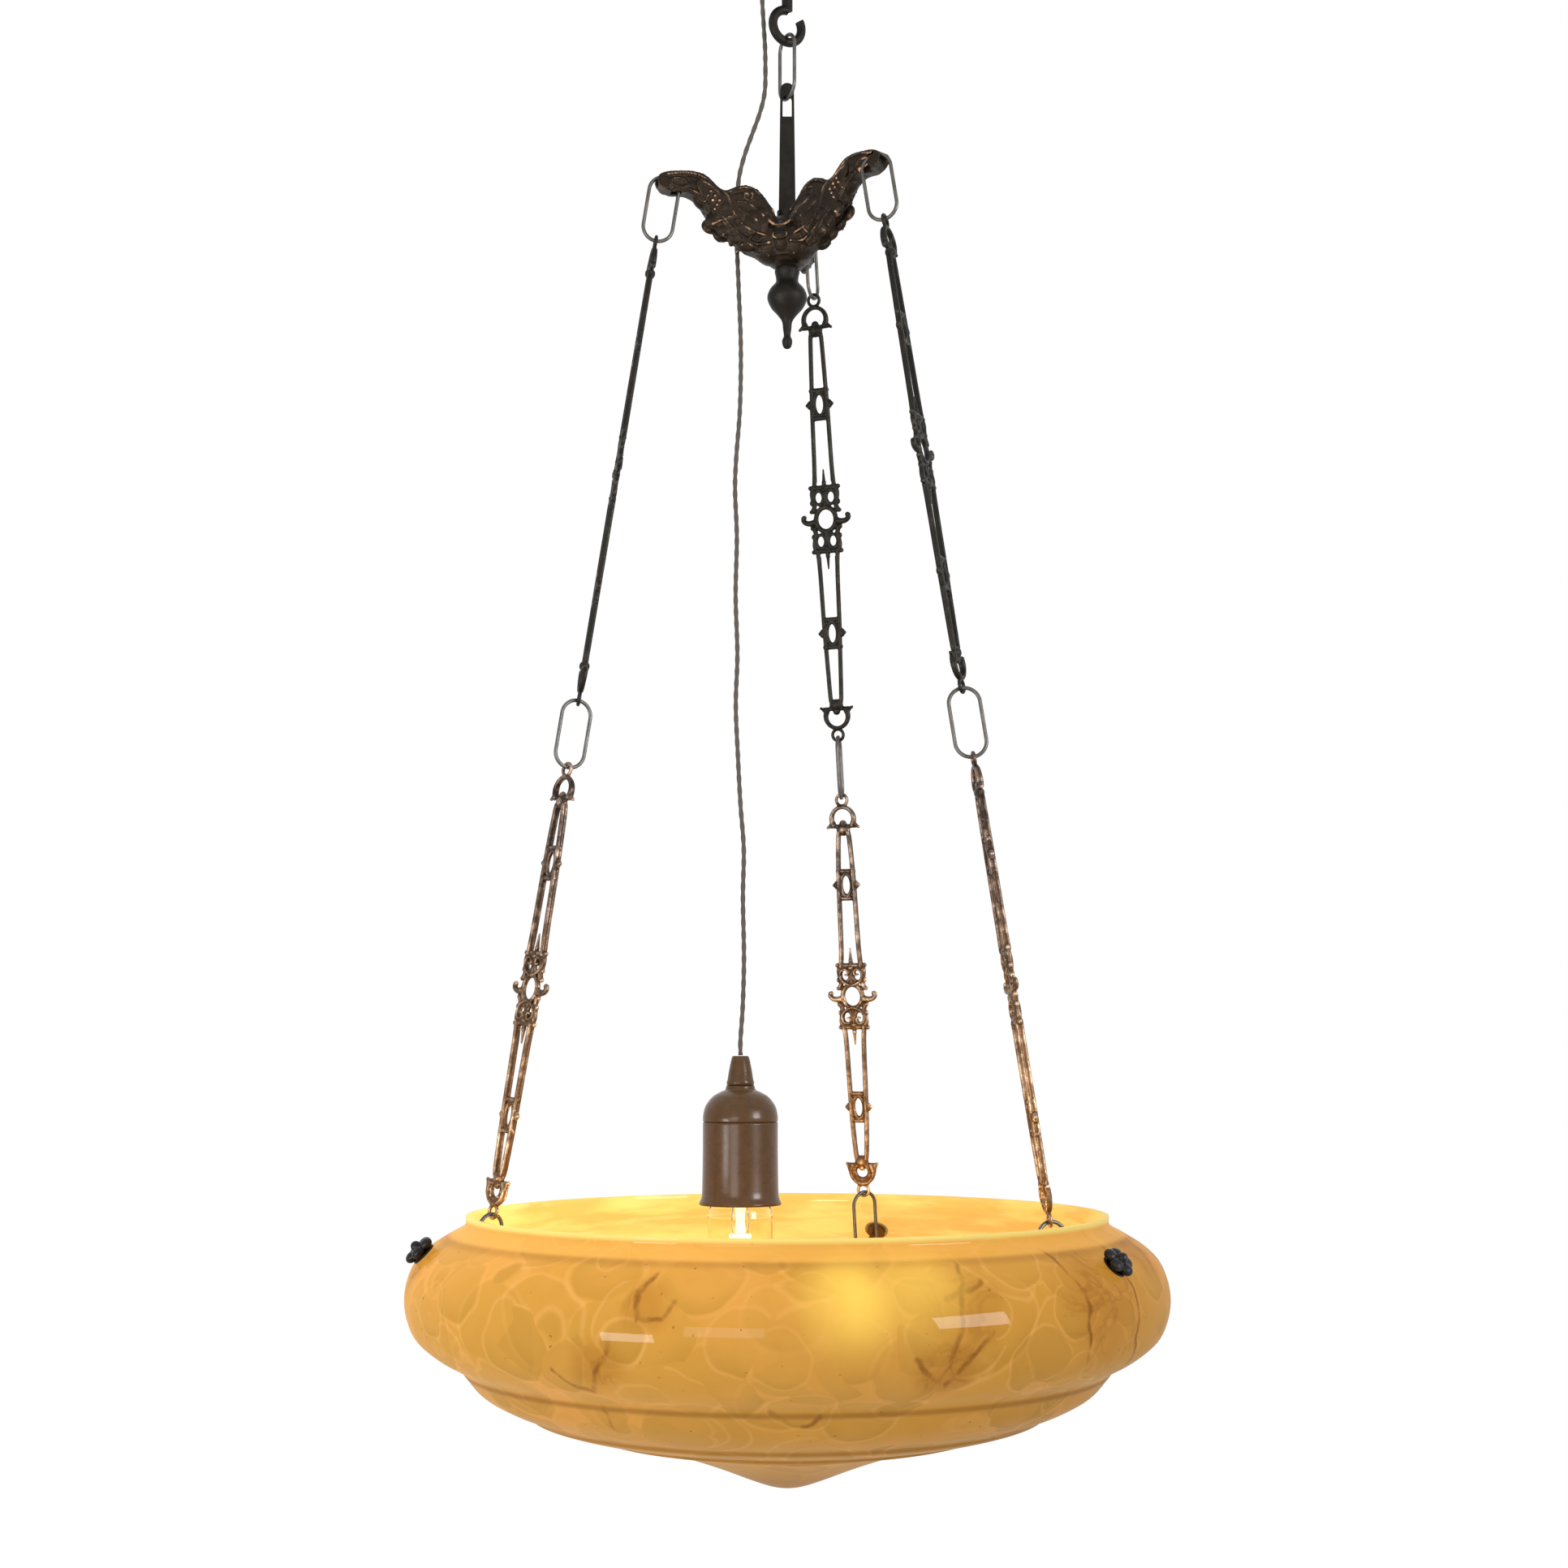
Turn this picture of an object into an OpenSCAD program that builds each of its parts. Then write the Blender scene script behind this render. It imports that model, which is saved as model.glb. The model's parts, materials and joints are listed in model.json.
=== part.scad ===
// Bowl pendant light: a marbled glass bowl on three cast chains, with a lampholder on its own cord.
// The origin is the middle of the ceiling plate's upper face, and +Z is up.

/* [Ceiling fitting] */
// Outer radius of the ceiling rose
rose_r = 55; // [52:0.5:58]
// Depth of the ceiling rose
rose_h = 42; // [40:0.5:44]
// Wall of the ceiling rose
rose_wall = 1.2; // [1:0.1:1.6]
// Distance between the two screw holes in the ceiling plate
screw_gap = 60; // [54:1:64]
// Radius of the eye hook's shank
shank_r = 3; // [2.8:0.1:3.2]

/* [Bowl] */
// Height of the ceiling over the bowl's rim
rim_drop = 742; // [738:1:760]
// Largest radius of the bowl
bowl_r = 200; // [198:1:204]
// Thickness of the glass
glass_wall = 4.5; // [4:0.1:5]

/* [Chains] */
// Distance of a chain's foot from the axis
foot_r = 155.5; // [154:0.5:157]
// Distance of a chain's head from the axis
head_r = 74; // [73:0.5:75]
// Length of an upper bar between its eyes
upper_len = 252; // [250:0.5:254]
// Length of a lower bar between its eyes
lower_len = 233; // [231:0.5:235]
// Thickness of a cast bar
bar_thick = 2.6; // [2.4:0.1:2.8]
// Length of a wire link over its ends
link_len = 38; // [37:0.5:39]
// Width of a wire link over its sides
link_w = 18; // [17.5:0.5:18.5]
// Thickness of the link wire
wire = 2; // [1.8:0.1:2]

/* [Lampholder] */
// Distance of the lampholder from the bowl's axis, to the left
holder_off = 25; // [23:0.5:27]
// Radius of the lampholder's body
holder_r = 20; // [19.5:0.5:21]
// Diameter of the twin cord
cord_d = 2.6; // [2.4:0.1:2.8]

/* [Hidden] */
$fn = 48;
eps = 0.01;

// Rim plane of the bowl, from which the heights below are counted
rim_z = -rim_drop;
wire_r = wire / 2;
play = 0.1;

// Wire links: pitch is the distance between the wire's middles at the two ends
link_pitch = link_len - wire;
bend_r = link_w / 2 - wire_r;

// Eyes of the cast bars
eye_r = 2.5;
eye_rim = 1.5;
eye_play = eye_r - wire_r - 0.3;

// Each chain is a straight line from its foot at the rim to its head under the crown
foot_sides = [-34, 73, 193];
head_sides = [-46, 78, 196];
foot_up = 3;
chain_len = upper_len + lower_len + link_pitch + 2 * eye_play;
bend_at = chain_len + eye_play + link_pitch - bend_r;
link_foot = -eye_play - link_pitch;

// Turn of each piece about its own chain, for the chains 1, 2 and 3
middle_turns = [24, 13, 16];
lower_turns = [28, 0, 32];
bottom_turns = [50, -32, 40];

// Bolts through the bowl's shoulder
bolt_r = 190;
bolt_z = -18.5;
bolt_rise = 45;
stud_r = 2.5;
washer_t = 1;
inside_gap = glass_wall + 1.2;
flange_t = 1.6;
flange_at = -inside_gap - washer_t - flange_t;
ring_r = 4.5;
ring_wire_r = 1.5;
ring_at = link_foot - (ring_r - ring_wire_r - wire_r - 0.5);

// Outline of the bowl's outer face from the rim to the tip, as radius and height from the rim
BOWL = [
    [169, 0], [169.5, -5], [178, -10], [187.5, -16], [194.5, -23], [198.5, -32], [200, -42],
    [198.5, -52], [194, -61.5], [184, -70], [172.5, -76.5], [168.5, -81], [161, -89.5],
    [150, -96], [138, -101], [133.5, -104], [122, -107.5], [108, -110.5], [104, -112.5],
    [88, -115.5], [70, -119.5], [52, -125.5], [36, -131.5], [20, -138], [9, -141.8], [0, -143.2]
];

// Crown: heights are counted from the hub's underside
crown_z = rim_z + 513;
hub_top = 27;
arm_t = 9;
thick_t = 13;
beak_r = 3.4;
beak_at = bend_at + bend_r - wire_r - 0.4 - beak_r;
hole_r = 2.3;

// Hanging link, strap and eye hook, as heights over the rim plane
strap_w = 7.5;
strap_foot_w = 9.3;
strap_t = 2.6;
strap_top = rim_z + 617.5;
slot_w = 5;
slot_h = 12;
hang_turn = 30;
hang_low = rim_z + 609;
hang_high = hang_low + link_pitch;
hook_wire_r = 2.5;
hook_bend = 9;
hook_z = hang_high - wire_r - 0.3 - hook_wire_r + hook_bend;
slot_top = hang_low + wire_r + 0.4;

// Ceiling plate, with the blind boss that the hook screws into
plate_r = 45;
plate_t = 2.5;
boss_r = 9;
boss_h = 11.5;
screw_r = 2.25;
nut_h = 5;

// Cord: the twin cord's route, and where its three stretches meet
cord_x = -14;
cord_y = 2;
block_z = -18;
UPPER = [
    [-14, 2, -18], [-14, 2, -30], [-14, 2, -42], [-14, 2, -54], [-14, 2, -64], [-13.8, 2, -76],
    [-13, 2, -90], [-12.2, 2, -104], [-12, 2, -117]
];
MIDDLE = [
    [-12, 2, -118.6], [-12.2, 2, -126], [-13.4, 2, -134], [-16, 2, -143], [-19.6, 2, -153],
    [-23.4, 2, -164], [-26.2, 2, -175], [-27.4, 2, -185]
];
DROP = [
    [-27.4, 2, -185.3], [-27.9, 2, -194], [-28, 2.2, -206], [-26.6, 2.4, -240], [-25.4, 2.2, -272],
    [-25.8, 1.8, -306], [-27.8, 1.8, -334], [-28.4, 2, -352], [-27.4, 2.3, -378], [-28, 2.3, -410],
    [-27, 2, -442], [-27.8, 1.8, -470], [-26.6, 1.9, -498], [-25.2, 2.2, -524], [-23.4, 2.3, -548],
    [-23.8, 2, -574], [-23.2, 1.8, -606], [-23.8, 1.9, -632], [-25, 2, -650], [-25, 2, -658.7]
];

// Lampholder and lamp, as heights over the rim plane
holder_at = [-holder_off, 2, rim_z];
grip_top = 83;
grip_low = 67;
seam_h = 48;
skirt_low = 4;
holder_wall = 2.2;
shell_r = 13.6;
cap_r = 13;
bulb_r = 17.3;
bulb_low = -66;

function spline(a, b, c, d, t) =
    0.5 * (2 * b + (c - a) * t + (2 * a - 5 * b + 4 * c - d) * t * t + (3 * b - a - 3 * c + d) * t * t * t);
function smooth(p, n) = [
    for (i = [0 : len(p) - 2])
        for (j = [0 : n - 1])
            spline(p[max(i - 1, 0)], p[i], p[i + 1], p[min(i + 2, len(p) - 1)], j / n),
    p[len(p) - 1]
];
function unit(v) = v / norm(v);
function slope(p, i) = unit(p[min(i + 1, len(p) - 1)] - p[max(i - 1, 0)]);
function inward(p, wall) = [
    for (i = [len(p) - 1 : -1 : 0])
        let (t = slope(p, i), q = p[i] + wall * [t[1], -t[0]])
            [i == len(p) - 1 ? 0 : max(q[0], 0.5), i == 0 ? 0 : q[1]]
];

// Chain k: its foot, the direction that it runs in, and a point beside it
function around(r, a, z) = [r * cos(a), r * sin(a), z];
function foot(k) = around(foot_r, foot_sides[k - 1], rim_z + foot_up);
function span(k) = around(head_r, head_sides[k - 1], 0) - around(foot_r, foot_sides[k - 1], 0);
function run(k) = [span(k)[0], span(k)[1], sqrt(pow(chain_len, 2) - pow(norm(span(k)), 2))] / chain_len;
function lean(k) = acos(run(k)[2]);
function heading(k) = atan2(run(k)[1], run(k)[0]);
function beside(k, turn) =
    let (out = [-run(k)[2] * cos(heading(k)), -run(k)[2] * sin(heading(k)), sin(lean(k))])
        cos(turn) * out + sin(turn) * cross(run(k), out);

// Tube swept along a route, with flat ends
module tube(route, d, sides) {
    p = smooth(route, 2);
    rings = [
        for (i = [0 : len(p) - 1])
            let (
                t = slope(p, i),
                u = unit(cross([0, 1, 0], t)),
                v = cross(t, u)
            )
                [for (s = [0 : sides - 1]) p[i] + d / 2 * (cos(360 * s / sides) * u + sin(360 * s / sides) * v)]
    ];
    last = len(p) - 1;
    points = [for (r = rings) for (q = r) q];
    walls = [
        for (i = [0 : last - 1])
            for (s = [0 : sides - 1])
                let (a = i * sides + s, b = i * sides + (s + 1) % sides)
                    each [[a, b, b + sides], [a, b + sides, a + sides]]
    ];
    start_cap = [for (s = [sides - 1 : -1 : 0]) s];
    end_cap = [for (s = [0 : sides - 1]) last * sides + s];
    polyhedron(points = points, faces = concat(walls, [start_cap, end_cap]), convexity = 6);
}

// Places children on chain k, a distance up from its foot: X points outwards and Z up the chain
module on_chain(k, up, turn = 0) {
    translate(foot(k))
        rotate([0, lean(k), heading(k)])
            translate([0, 0, up])
                rotate([0, 0, 180 + turn])
                    children();
}

// Places children on the glass at bolt k, with Z along the bolt and pointing outwards
module at_bolt(k) {
    rotate([0, 0, foot_sides[k - 1]])
        translate([bolt_r, 0, rim_z + bolt_z])
            rotate([0, 90 - bolt_rise, 0])
                children();
}

// Round rod between two points
module rod(a, b, r) {
    d = b - a;
    translate(a)
        rotate([0, acos(d[2] / norm(d)), atan2(d[1], d[0])])
            cylinder(r = r, h = norm(d));
}

module wire_link() {
    straight = link_pitch - 2 * bend_r;
    for (side = [-1, 1])
        translate([side * bend_r, 0, -straight / 2])
            cylinder(r = wire_r, h = straight);
    for (end = [0, 180])
        rotate([0, end, 0])
            translate([0, 0, straight / 2])
                rotate([90, 0, 0])
                    rotate_extrude(angle = 180)
                        translate([bend_r, 0])
                            circle(r = wire_r);
}

// One quarter of a bar's openings and edges repeats on both sides and at both ends
module both_ends() {
    for (end = [0, 1])
        mirror([0, end])
            children();
}

module both_sides() {
    for (side = [0, 1])
        mirror([side, 0])
            children();
}

// Outline of a cast bar, drawn with its length along Y and its eyes at the ends
module bar_outline(half) {
    both_ends() {
        // eye at the end
        translate([0, half])
            circle(r = eye_r + eye_rim);
        // stirrup with pointed corners
        translate([0, half - 11])
            circle(r = 8);
        polygon([
            [-9.6, half - 15.6], [-7.6, half - 9], [7.6, half - 9], [9.6, half - 15.6], [6, half - 17], [-6, half - 17]
        ]);
        // boss under the stirrup
        translate([0, half - 18])
            circle(r = 5);
        // pair of rails
        polygon([[-6.9, 15], [-5.5, half - 20], [5.5, half - 20], [6.9, 15]]);
        // nubs on the rails
        both_sides()
            translate([6, 66])
                circle(r = 1.9);
        // head of the middle plate
        both_sides() {
            translate([6.8, 16.4])
                circle(r = 2.4);
            translate([6.4, 9.6])
                circle(r = 2.6);
            // horn with its scroll
            polygon([[4, 3.2], [11, 0.6], [12.4, 2.6], [14.4, 2], [14.2, -1], [12, -2.6], [8, -3.2], [4, -3.2]]);
        }
    }
    translate([-8.4, -17])
        square([16.8, 34]);
}

module bar_openings(half) {
    both_ends() {
        translate([0, half])
            circle(r = eye_r);
        // opening of the stirrup
        intersection() {
            translate([0, half - 11])
                circle(r = 5.7);
            translate([-6, half - 13.6])
                square([12, 9]);
        }
        // long openings between the rails
        polygon([[-3.1, 76], [-2.7, half - 23.5], [2.7, half - 23.5], [3.1, 76]]);
        polygon([[-4.5, 21], [-3.6, 56.5], [3.6, 56.5], [4.5, 21]]);
        translate([0, 66.2])
            circle(r = 3.3);
        translate([-2.2, 61])
            square([4.4, 10.4]);
        // small pair in the middle plate
        both_sides()
            translate([3.9, 11.3])
                circle(r = 2.7);
    }
    // round opening in the middle
    circle(r = 5.2);
    // waists between the plate's corners
    both_ends()
        both_sides()
            translate([10.2, 5.2])
                circle(r = 1.7);
}

module cast_bar(length) {
    rotate([90, 0, 90])
        translate([0, 0, -bar_thick / 2])
            linear_extrude(height = bar_thick)
                difference() {
                    bar_outline(length / 2);
                    bar_openings(length / 2);
                }
    // spikes that stand in the long openings
    for (end = [-1, 1])
        translate([0, 0, end * 23.4])
            cube([bar_thick - 0.6, 1.6, 7.2], center = true);
}

module ceiling_plate() {
    color("gainsboro")
        difference() {
            union() {
                translate([0, 0, -plate_t])
                    cylinder(r = plate_r, h = plate_t);
                translate([0, 0, -plate_t - boss_h])
                    cylinder(r = boss_r, h = boss_h + eps);
            }
            translate([0, 0, -plate_t - boss_h - eps])
                cylinder(r = shank_r + 0.05, h = boss_h);
            for (side = [-1, 1])
                translate([0, side * screw_gap / 2, -plate_t - eps])
                    cylinder(r = screw_r, h = plate_t + 2 * eps);
        }
}

module rose_hook() {
    color("dimgray")
        union() {
            translate([0, 0, hook_z + hook_bend])
                cylinder(r = shank_r, h = -plate_t - 1 - hook_z - hook_bend);
            translate([0, 0, hook_z])
                rotate([90, 0, hang_turn])
                    rotate([0, 0, 90])
                        rotate_extrude(angle = 300)
                            translate([hook_bend, 0])
                                circle(r = hook_wire_r);
        }
}

module hook_nut() {
    color("silver")
        translate([0, 0, -plate_t - boss_h - nut_h])
            difference() {
                cylinder(r = 6.2, h = nut_h, $fn = 6);
                translate([0, 0, -eps])
                    cylinder(r = shank_r + 0.05, h = nut_h + 2 * eps);
            }
}

module terminal_block() {
    color("ivory")
        difference() {
            translate([-34, -8, block_z])
                cube([24, 16, -plate_t - block_z]);
            for (y = [-3, 5])
                translate([-28, y, block_z - eps])
                    cylinder(r = 2.1, h = 8);
        }
}

module terminal_screws() {
    color("goldenrod")
        for (y = [-3, 5])
            translate([-28, y, block_z + 1])
                cylinder(r = 2, h = 6.5);
}

module cord_upper() {
    color("dimgray")
        tube(UPPER, cord_d, 8);
}

module cord_middle() {
    color("dimgray")
        tube(MIDDLE, cord_d, 8);
}

module cord_drop() {
    color("dimgray")
        tube(DROP, cord_d, 8);
}

// Rose profile: a shallow bell with a rolled lip at the ceiling
module rose_section(inset) {
    r = rose_r - inset;
    h = rose_h - inset;
    polygon(concat(
        [[0, -0.6], [r, -0.6], [r, -5]],
        [for (a = [0 : 10 : 80]) [12 + (r - 14) * cos(a), -6 - (h - 6) * sin(a)]],
        [[12, -h], [0, -h]]
    ));
}

module ceiling_rose() {
    color("saddlebrown")
        difference() {
            rotate_extrude($fn = 96)
                rose_section(0);
            difference() {
                rotate_extrude($fn = 96)
                    rose_section(rose_wall);
                translate([0, 0, -rose_h])
                    cylinder(r = 11, h = rose_wall);
            }
            translate([0, 0, -0.6])
                cylinder(r = rose_r - rose_wall, h = 2);
            translate([0, 0, -rose_h - 1])
                cylinder(r = shank_r + 0.6, h = 6);
            translate([cord_x, cord_y, -rose_h - 4])
                cylinder(r = 3.05, h = 20);
        }
}

module rose_collar() {
    color("saddlebrown")
        translate([0, 0, -rose_h - 8])
            difference() {
                cylinder(r = 7, h = 8 - play / 2);
                translate([0, 0, -eps])
                    cylinder(r = shank_r + 0.05, h = 9);
                translate([0, 0, 4])
                    rotate([0, 90, 0])
                        cylinder(r = 1.55, h = 8);
            }
}

module collar_screw() {
    color("silver")
        translate([shank_r + 0.3, 0, -rose_h - 4])
            rotate([0, 90, 0])
                cylinder(r = 1.5, h = 5.5);
}

module cord_bush() {
    color("dimgray")
        translate([cord_x, cord_y, -rose_h - 3])
            difference() {
                union() {
                    cylinder(r = 4.4, h = 2.9);
                    cylinder(r = 3, h = 7);
                }
                translate([0, 0, -eps])
                    cylinder(r = cord_d / 2 + 0.35, h = 8);
            }
}

module hanging_link() {
    color("dimgray")
        translate([0, 0, (hang_low + hang_high) / 2])
            rotate([0, 0, 90 + hang_turn])
                wire_link();
}

module hanger_strap() {
    foot_z = crown_z + hub_top;
    color("dimgray")
        union() {
            difference() {
                translate([0, strap_t / 2, 0])
                    rotate([90, 0, 0])
                        linear_extrude(height = strap_t)
                            union() {
                                polygon([
                                    [-strap_foot_w / 2, foot_z + 4], [-strap_w / 2, strap_top - 3.6],
                                    [strap_w / 2, strap_top - 3.6], [strap_foot_w / 2, foot_z + 4]
                                ]);
                                translate([0, strap_top - strap_w / 2])
                                    circle(r = strap_w / 2);
                            }
                translate([0, 2, 0])
                    rotate([90, 0, 0])
                        linear_extrude(height = 4)
                            union() {
                                translate([-slot_w / 2, slot_top - slot_h])
                                    square([slot_w, slot_h - slot_w / 2]);
                                translate([0, slot_top - slot_w / 2])
                                    circle(r = slot_w / 2);
                            }
            }
            translate([0, 0, foot_z])
                cylinder(r = 5.6, h = 5);
        }
}

// Outline of one crown arm, as radius and height over the hub's underside
module arm_outline() {
    polygon(smooth([
        [6, 20], [8, 28], [13, 36], [18, 41], [24, 42.8], [30, 41.5], [35, 39], [39, 39.5], [43, 43],
        [48, 46.6], [55, 47.6], [62, 47], [68, 46], [72.5, 44], [73.5, 41], [71.5, 37.5], [66, 35.2],
        [60, 35.6], [56, 35.2], [51, 32.6], [47, 27.5], [43.5, 22.5], [40, 19], [35.5, 16], [32, 12.5],
        [27, 10], [23, 7], [17.5, 5.5], [11, 2], [6, 2]
    ], 2));
}

// Outline of the thicker middle of an arm
module arm_middle() {
    polygon(smooth([
        [6, 8], [7, 24], [12, 32], [18, 37], [25, 38], [31, 36.5], [37, 35.5], [42, 38], [47, 41],
        [52, 42.5], [52.5, 38], [48, 33], [43, 26.5], [38, 21.5], [32, 16.5], [25, 12], [17, 8], [11, 5]
    ], 2));
}

module crown() {
    color("saddlebrown")
        difference() {
            union() {
                for (k = [1 : 3]) {
                    rotate([0, 0, head_sides[k - 1]])
                        translate([0, 0, crown_z])
                            rotate([90, 0, 0]) {
                                translate([0, 0, -arm_t / 2])
                                    linear_extrude(height = arm_t)
                                        arm_outline();
                                translate([0, 0, -thick_t / 2])
                                    linear_extrude(height = thick_t)
                                        arm_middle();
                            }
                    on_chain(k, beak_at)
                        rotate([90, 0, 0])
                            translate([0, 0, -arm_t / 2])
                                cylinder(r = beak_r, h = arm_t);
                }
                translate([0, 0, crown_z])
                    rotate_extrude()
                        polygon([
                            [0, 0], [6.4, 0], [9.5, 2], [12.5, 5], [14.2, 10], [14.2, 15], [12.5, 20], [10.5, 24],
                            [8, hub_top], [0, hub_top]
                        ]);
            }
            // channel for the link's bend round each beak, with its way out below
            for (k = [1 : 3])
                on_chain(k, bend_at) {
                    rotate([90, 0, 0])
                        translate([0, 0, -hole_r])
                            linear_extrude(height = 2 * hole_r)
                                difference() {
                                    circle(r = bend_r + 1.6);
                                    translate([0, bend_r - wire_r - 0.4 - beak_r])
                                        circle(r = beak_r);
                                    translate([-3.4, -20])
                                        square([6.8, 24]);
                                    translate([-20, -40])
                                        square([40, 40]);
                                }
                    for (side = [-1, 1])
                        translate([side * bend_r - 2, -hole_r, -18])
                            cube([4, 2 * hole_r, 18 + eps]);
                }
            translate([0, 0, crown_z - eps])
                cylinder(r = stud_r + 0.05, h = hub_top + 1);
        }
}

module crown_stud() {
    color("silver")
        translate([0, 0, crown_z - 10])
            cylinder(r = stud_r, h = hub_top + 10 - play / 2);
}

module finial() {
    color("saddlebrown")
        translate([0, 0, crown_z])
            difference() {
                rotate_extrude()
                    polygon(concat(
                        [[0, -play / 2], [6.6, -play / 2]],
                        smooth([[6.8, -2], [6.2, -5], [6.4, -8], [9.6, -12], [10.9, -16.5], [9, -21.5], [5.6, -25.5],
                            [2.9, -29.5], [2.3, -34], [1.9, -37.6], [2.7, -39.8], [2.7, -42], [1.8, -44.2],
                            [0, -45]], 2)
                    ));
                translate([0, 0, -11])
                    cylinder(r = stud_r + 0.05, h = 12);
            }
}

module top_link(k) {
    color("dimgray")
        on_chain(k, chain_len + eye_play + link_pitch / 2)
            wire_link();
}

module upper_bar(k) {
    color("dimgray")
        on_chain(k, chain_len - upper_len / 2)
            cast_bar(upper_len);
}

module middle_link(k) {
    color("dimgray")
        on_chain(k, lower_len + eye_play + link_pitch / 2, middle_turns[k - 1])
            wire_link();
}

module lower_bar(k) {
    color("peru")
        on_chain(k, lower_len / 2, lower_turns[k - 1])
            cast_bar(lower_len);
}

module bottom_link(k) {
    color("peru")
        on_chain(k, link_foot + link_pitch / 2, bottom_turns[k - 1])
            wire_link();
}

module glass_bowl() {
    size = bowl_r / 200;
    outer = smooth([for (p = BOWL) size * p], 2);
    color("goldenrod")
        difference() {
            translate([0, 0, rim_z])
                rotate_extrude($fn = 96)
                    polygon(concat(outer, inward(outer, glass_wall)));
            for (k = [1 : 3])
                at_bolt(k)
                    translate([0, 0, -12])
                        cylinder(r = stud_r + 0.7, h = 24);
        }
}

// Hook of bolt k: a flange and a stud at the glass, and a shank that ends in an open ring
module bowl_hook(k) {
    side = foot_sides[k - 1];
    bolt = around(bolt_r, side, rim_z + bolt_z);
    flange = bolt + (flange_at + 1) * [cos(bolt_rise) * cos(side), cos(bolt_rise) * sin(side), sin(bolt_rise)];
    ring = foot(k) + ring_at * run(k);
    across = beside(k, bottom_turns[k - 1] + 90);
    toward = ((flange - ring) * run(k)) * run(k) + ((flange - ring) * across) * across;
    open_from = (toward * across > 0) ? 20 : 60;
    color("saddlebrown")
        union() {
            at_bolt(k) {
                translate([0, 0, flange_at])
                    cylinder(r = 5.5, h = flange_t);
                translate([0, 0, flange_at + 1])
                    cylinder(r = stud_r, h = -flange_at + 3);
            }
            rod(ring + (ring_r - 0.3) * unit(toward), flange, 1.6);
            on_chain(k, ring_at, bottom_turns[k - 1])
                rotate([0, 90, 0])
                    rotate([0, 0, open_from])
                        rotate_extrude(angle = 280)
                            translate([ring_r, 0])
                                circle(r = ring_wire_r);
        }
}

module inner_washers() {
    color("darkgray")
        for (k = [1 : 3])
            at_bolt(k)
                translate([0, 0, -inside_gap - washer_t + play / 2])
                    difference() {
                        cylinder(r = 7, h = washer_t - play);
                        translate([0, 0, -1])
                            cylinder(r = stud_r + 0.1, h = 3);
                    }
}

module outer_washers() {
    color("darkgray")
        for (k = [1 : 3])
            at_bolt(k)
                translate([0, 0, 0.35])
                    difference() {
                        cylinder(r = 6.5, h = washer_t);
                        translate([0, 0, -1])
                            cylinder(r = stud_r + 0.1, h = 3);
                    }
}

module rosette(k) {
    petals = 5;
    seat = 0.35 + washer_t + 0.3;
    color("dimgray")
        at_bolt(k)
            translate([0, 0, seat])
                difference() {
                    union() {
                        linear_extrude(height = 2.8)
                            for (p = [1 : petals])
                                rotate([0, 0, 360 * p / petals])
                                    translate([4.3, 0])
                                        circle(r = 4.2);
                        for (p = [1 : petals])
                            rotate([0, 0, 360 * p / petals])
                                translate([5.9, 0, 2.4])
                                    rotate_extrude()
                                        polygon([[0, 0], [2.4, 0], [2.4, 1.2], [1.9, 2.4], [1.1, 3.1], [0, 3.4]]);
                        rotate_extrude()
                            polygon([[0, 0], [3.4, 0], [3.4, 5.6], [2.9, 6.8], [1.8, 7.7], [0, 8]]);
                    }
                    translate([0, 0, -1])
                        cylinder(r = stud_r + 0.05, h = 3.7);
                }
}

module cord_grip() {
    color("saddlebrown")
        translate(holder_at)
            difference() {
                union() {
                    translate([0, 0, grip_low + play / 2])
                        cylinder(r1 = 7.2, r2 = 4.7, h = grip_top - grip_low - play, $fn = 10);
                    translate([0, 0, grip_low - 4])
                        cylinder(r = 4.9, h = 4.2);
                }
                translate([0, 0, grip_low - 5])
                    cylinder(r = cord_d / 2 + 0.3, h = 18);
            }
}

module holder_dome() {
    color("saddlebrown")
        translate([holder_at[0], holder_at[1], rim_z])
            rotate_extrude($fn = 64)
                polygon(concat(
                    [[holder_r, seam_h + play / 2]],
                    smooth([[holder_r, 51], [18.6, 56.5], [15, 61.2], [10.8, 63.8], [8.2, 65], [7.6, 67]], 2),
                    [[5, 67], [5, 62.4]],
                    smooth([[9.6, 61.8], [13.6, 59.2], [16.6, 55.2], [17.8, 51]], 2),
                    [[holder_r - holder_wall, seam_h + play / 2]]
                ));
}

module holder_body() {
    flare = holder_r + 1.6;
    color("saddlebrown")
        translate([holder_at[0], holder_at[1], rim_z])
            rotate_extrude($fn = 64)
                polygon([
                    [holder_r, seam_h - play / 2], [holder_r, 14], [holder_r + 0.5, 9], [flare, 5.4],
                    [flare, skirt_low], [flare - 1.6, skirt_low], [holder_r - holder_wall, 12],
                    [holder_r - holder_wall, seam_h - play / 2]
                ]);
}

module holder_core() {
    color("ivory")
        translate([holder_at[0], holder_at[1], rim_z])
            difference() {
                translate([0, 0, 40.5])
                    cylinder(r = holder_r - holder_wall - 0.1, h = 9);
                for (side = [-1, 1])
                    translate([side * 10, 0, 38])
                        cylinder(r = 1.6, h = 14);
                translate([0, 0, 38])
                    cylinder(r = 3.1, h = 4.6);
            }
}

module holder_screws() {
    color("goldenrod")
        translate([holder_at[0], holder_at[1], rim_z])
            for (side = [-1, 1])
                translate([side * 10, 0, 40]) {
                    cylinder(r = 1.5, h = 10.4);
                    translate([0, 0, 9.6])
                        cylinder(r = 3, h = 1.8);
                }
}

module screw_shell() {
    color("goldenrod")
        translate([holder_at[0], holder_at[1], rim_z])
            rotate_extrude()
                polygon([
                    [shell_r, 12.5], [shell_r, 39], [4, 39], [4, 39.8], [shell_r + 0.8, 39.8], [shell_r + 0.8, 12.5]
                ]);
}

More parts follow.
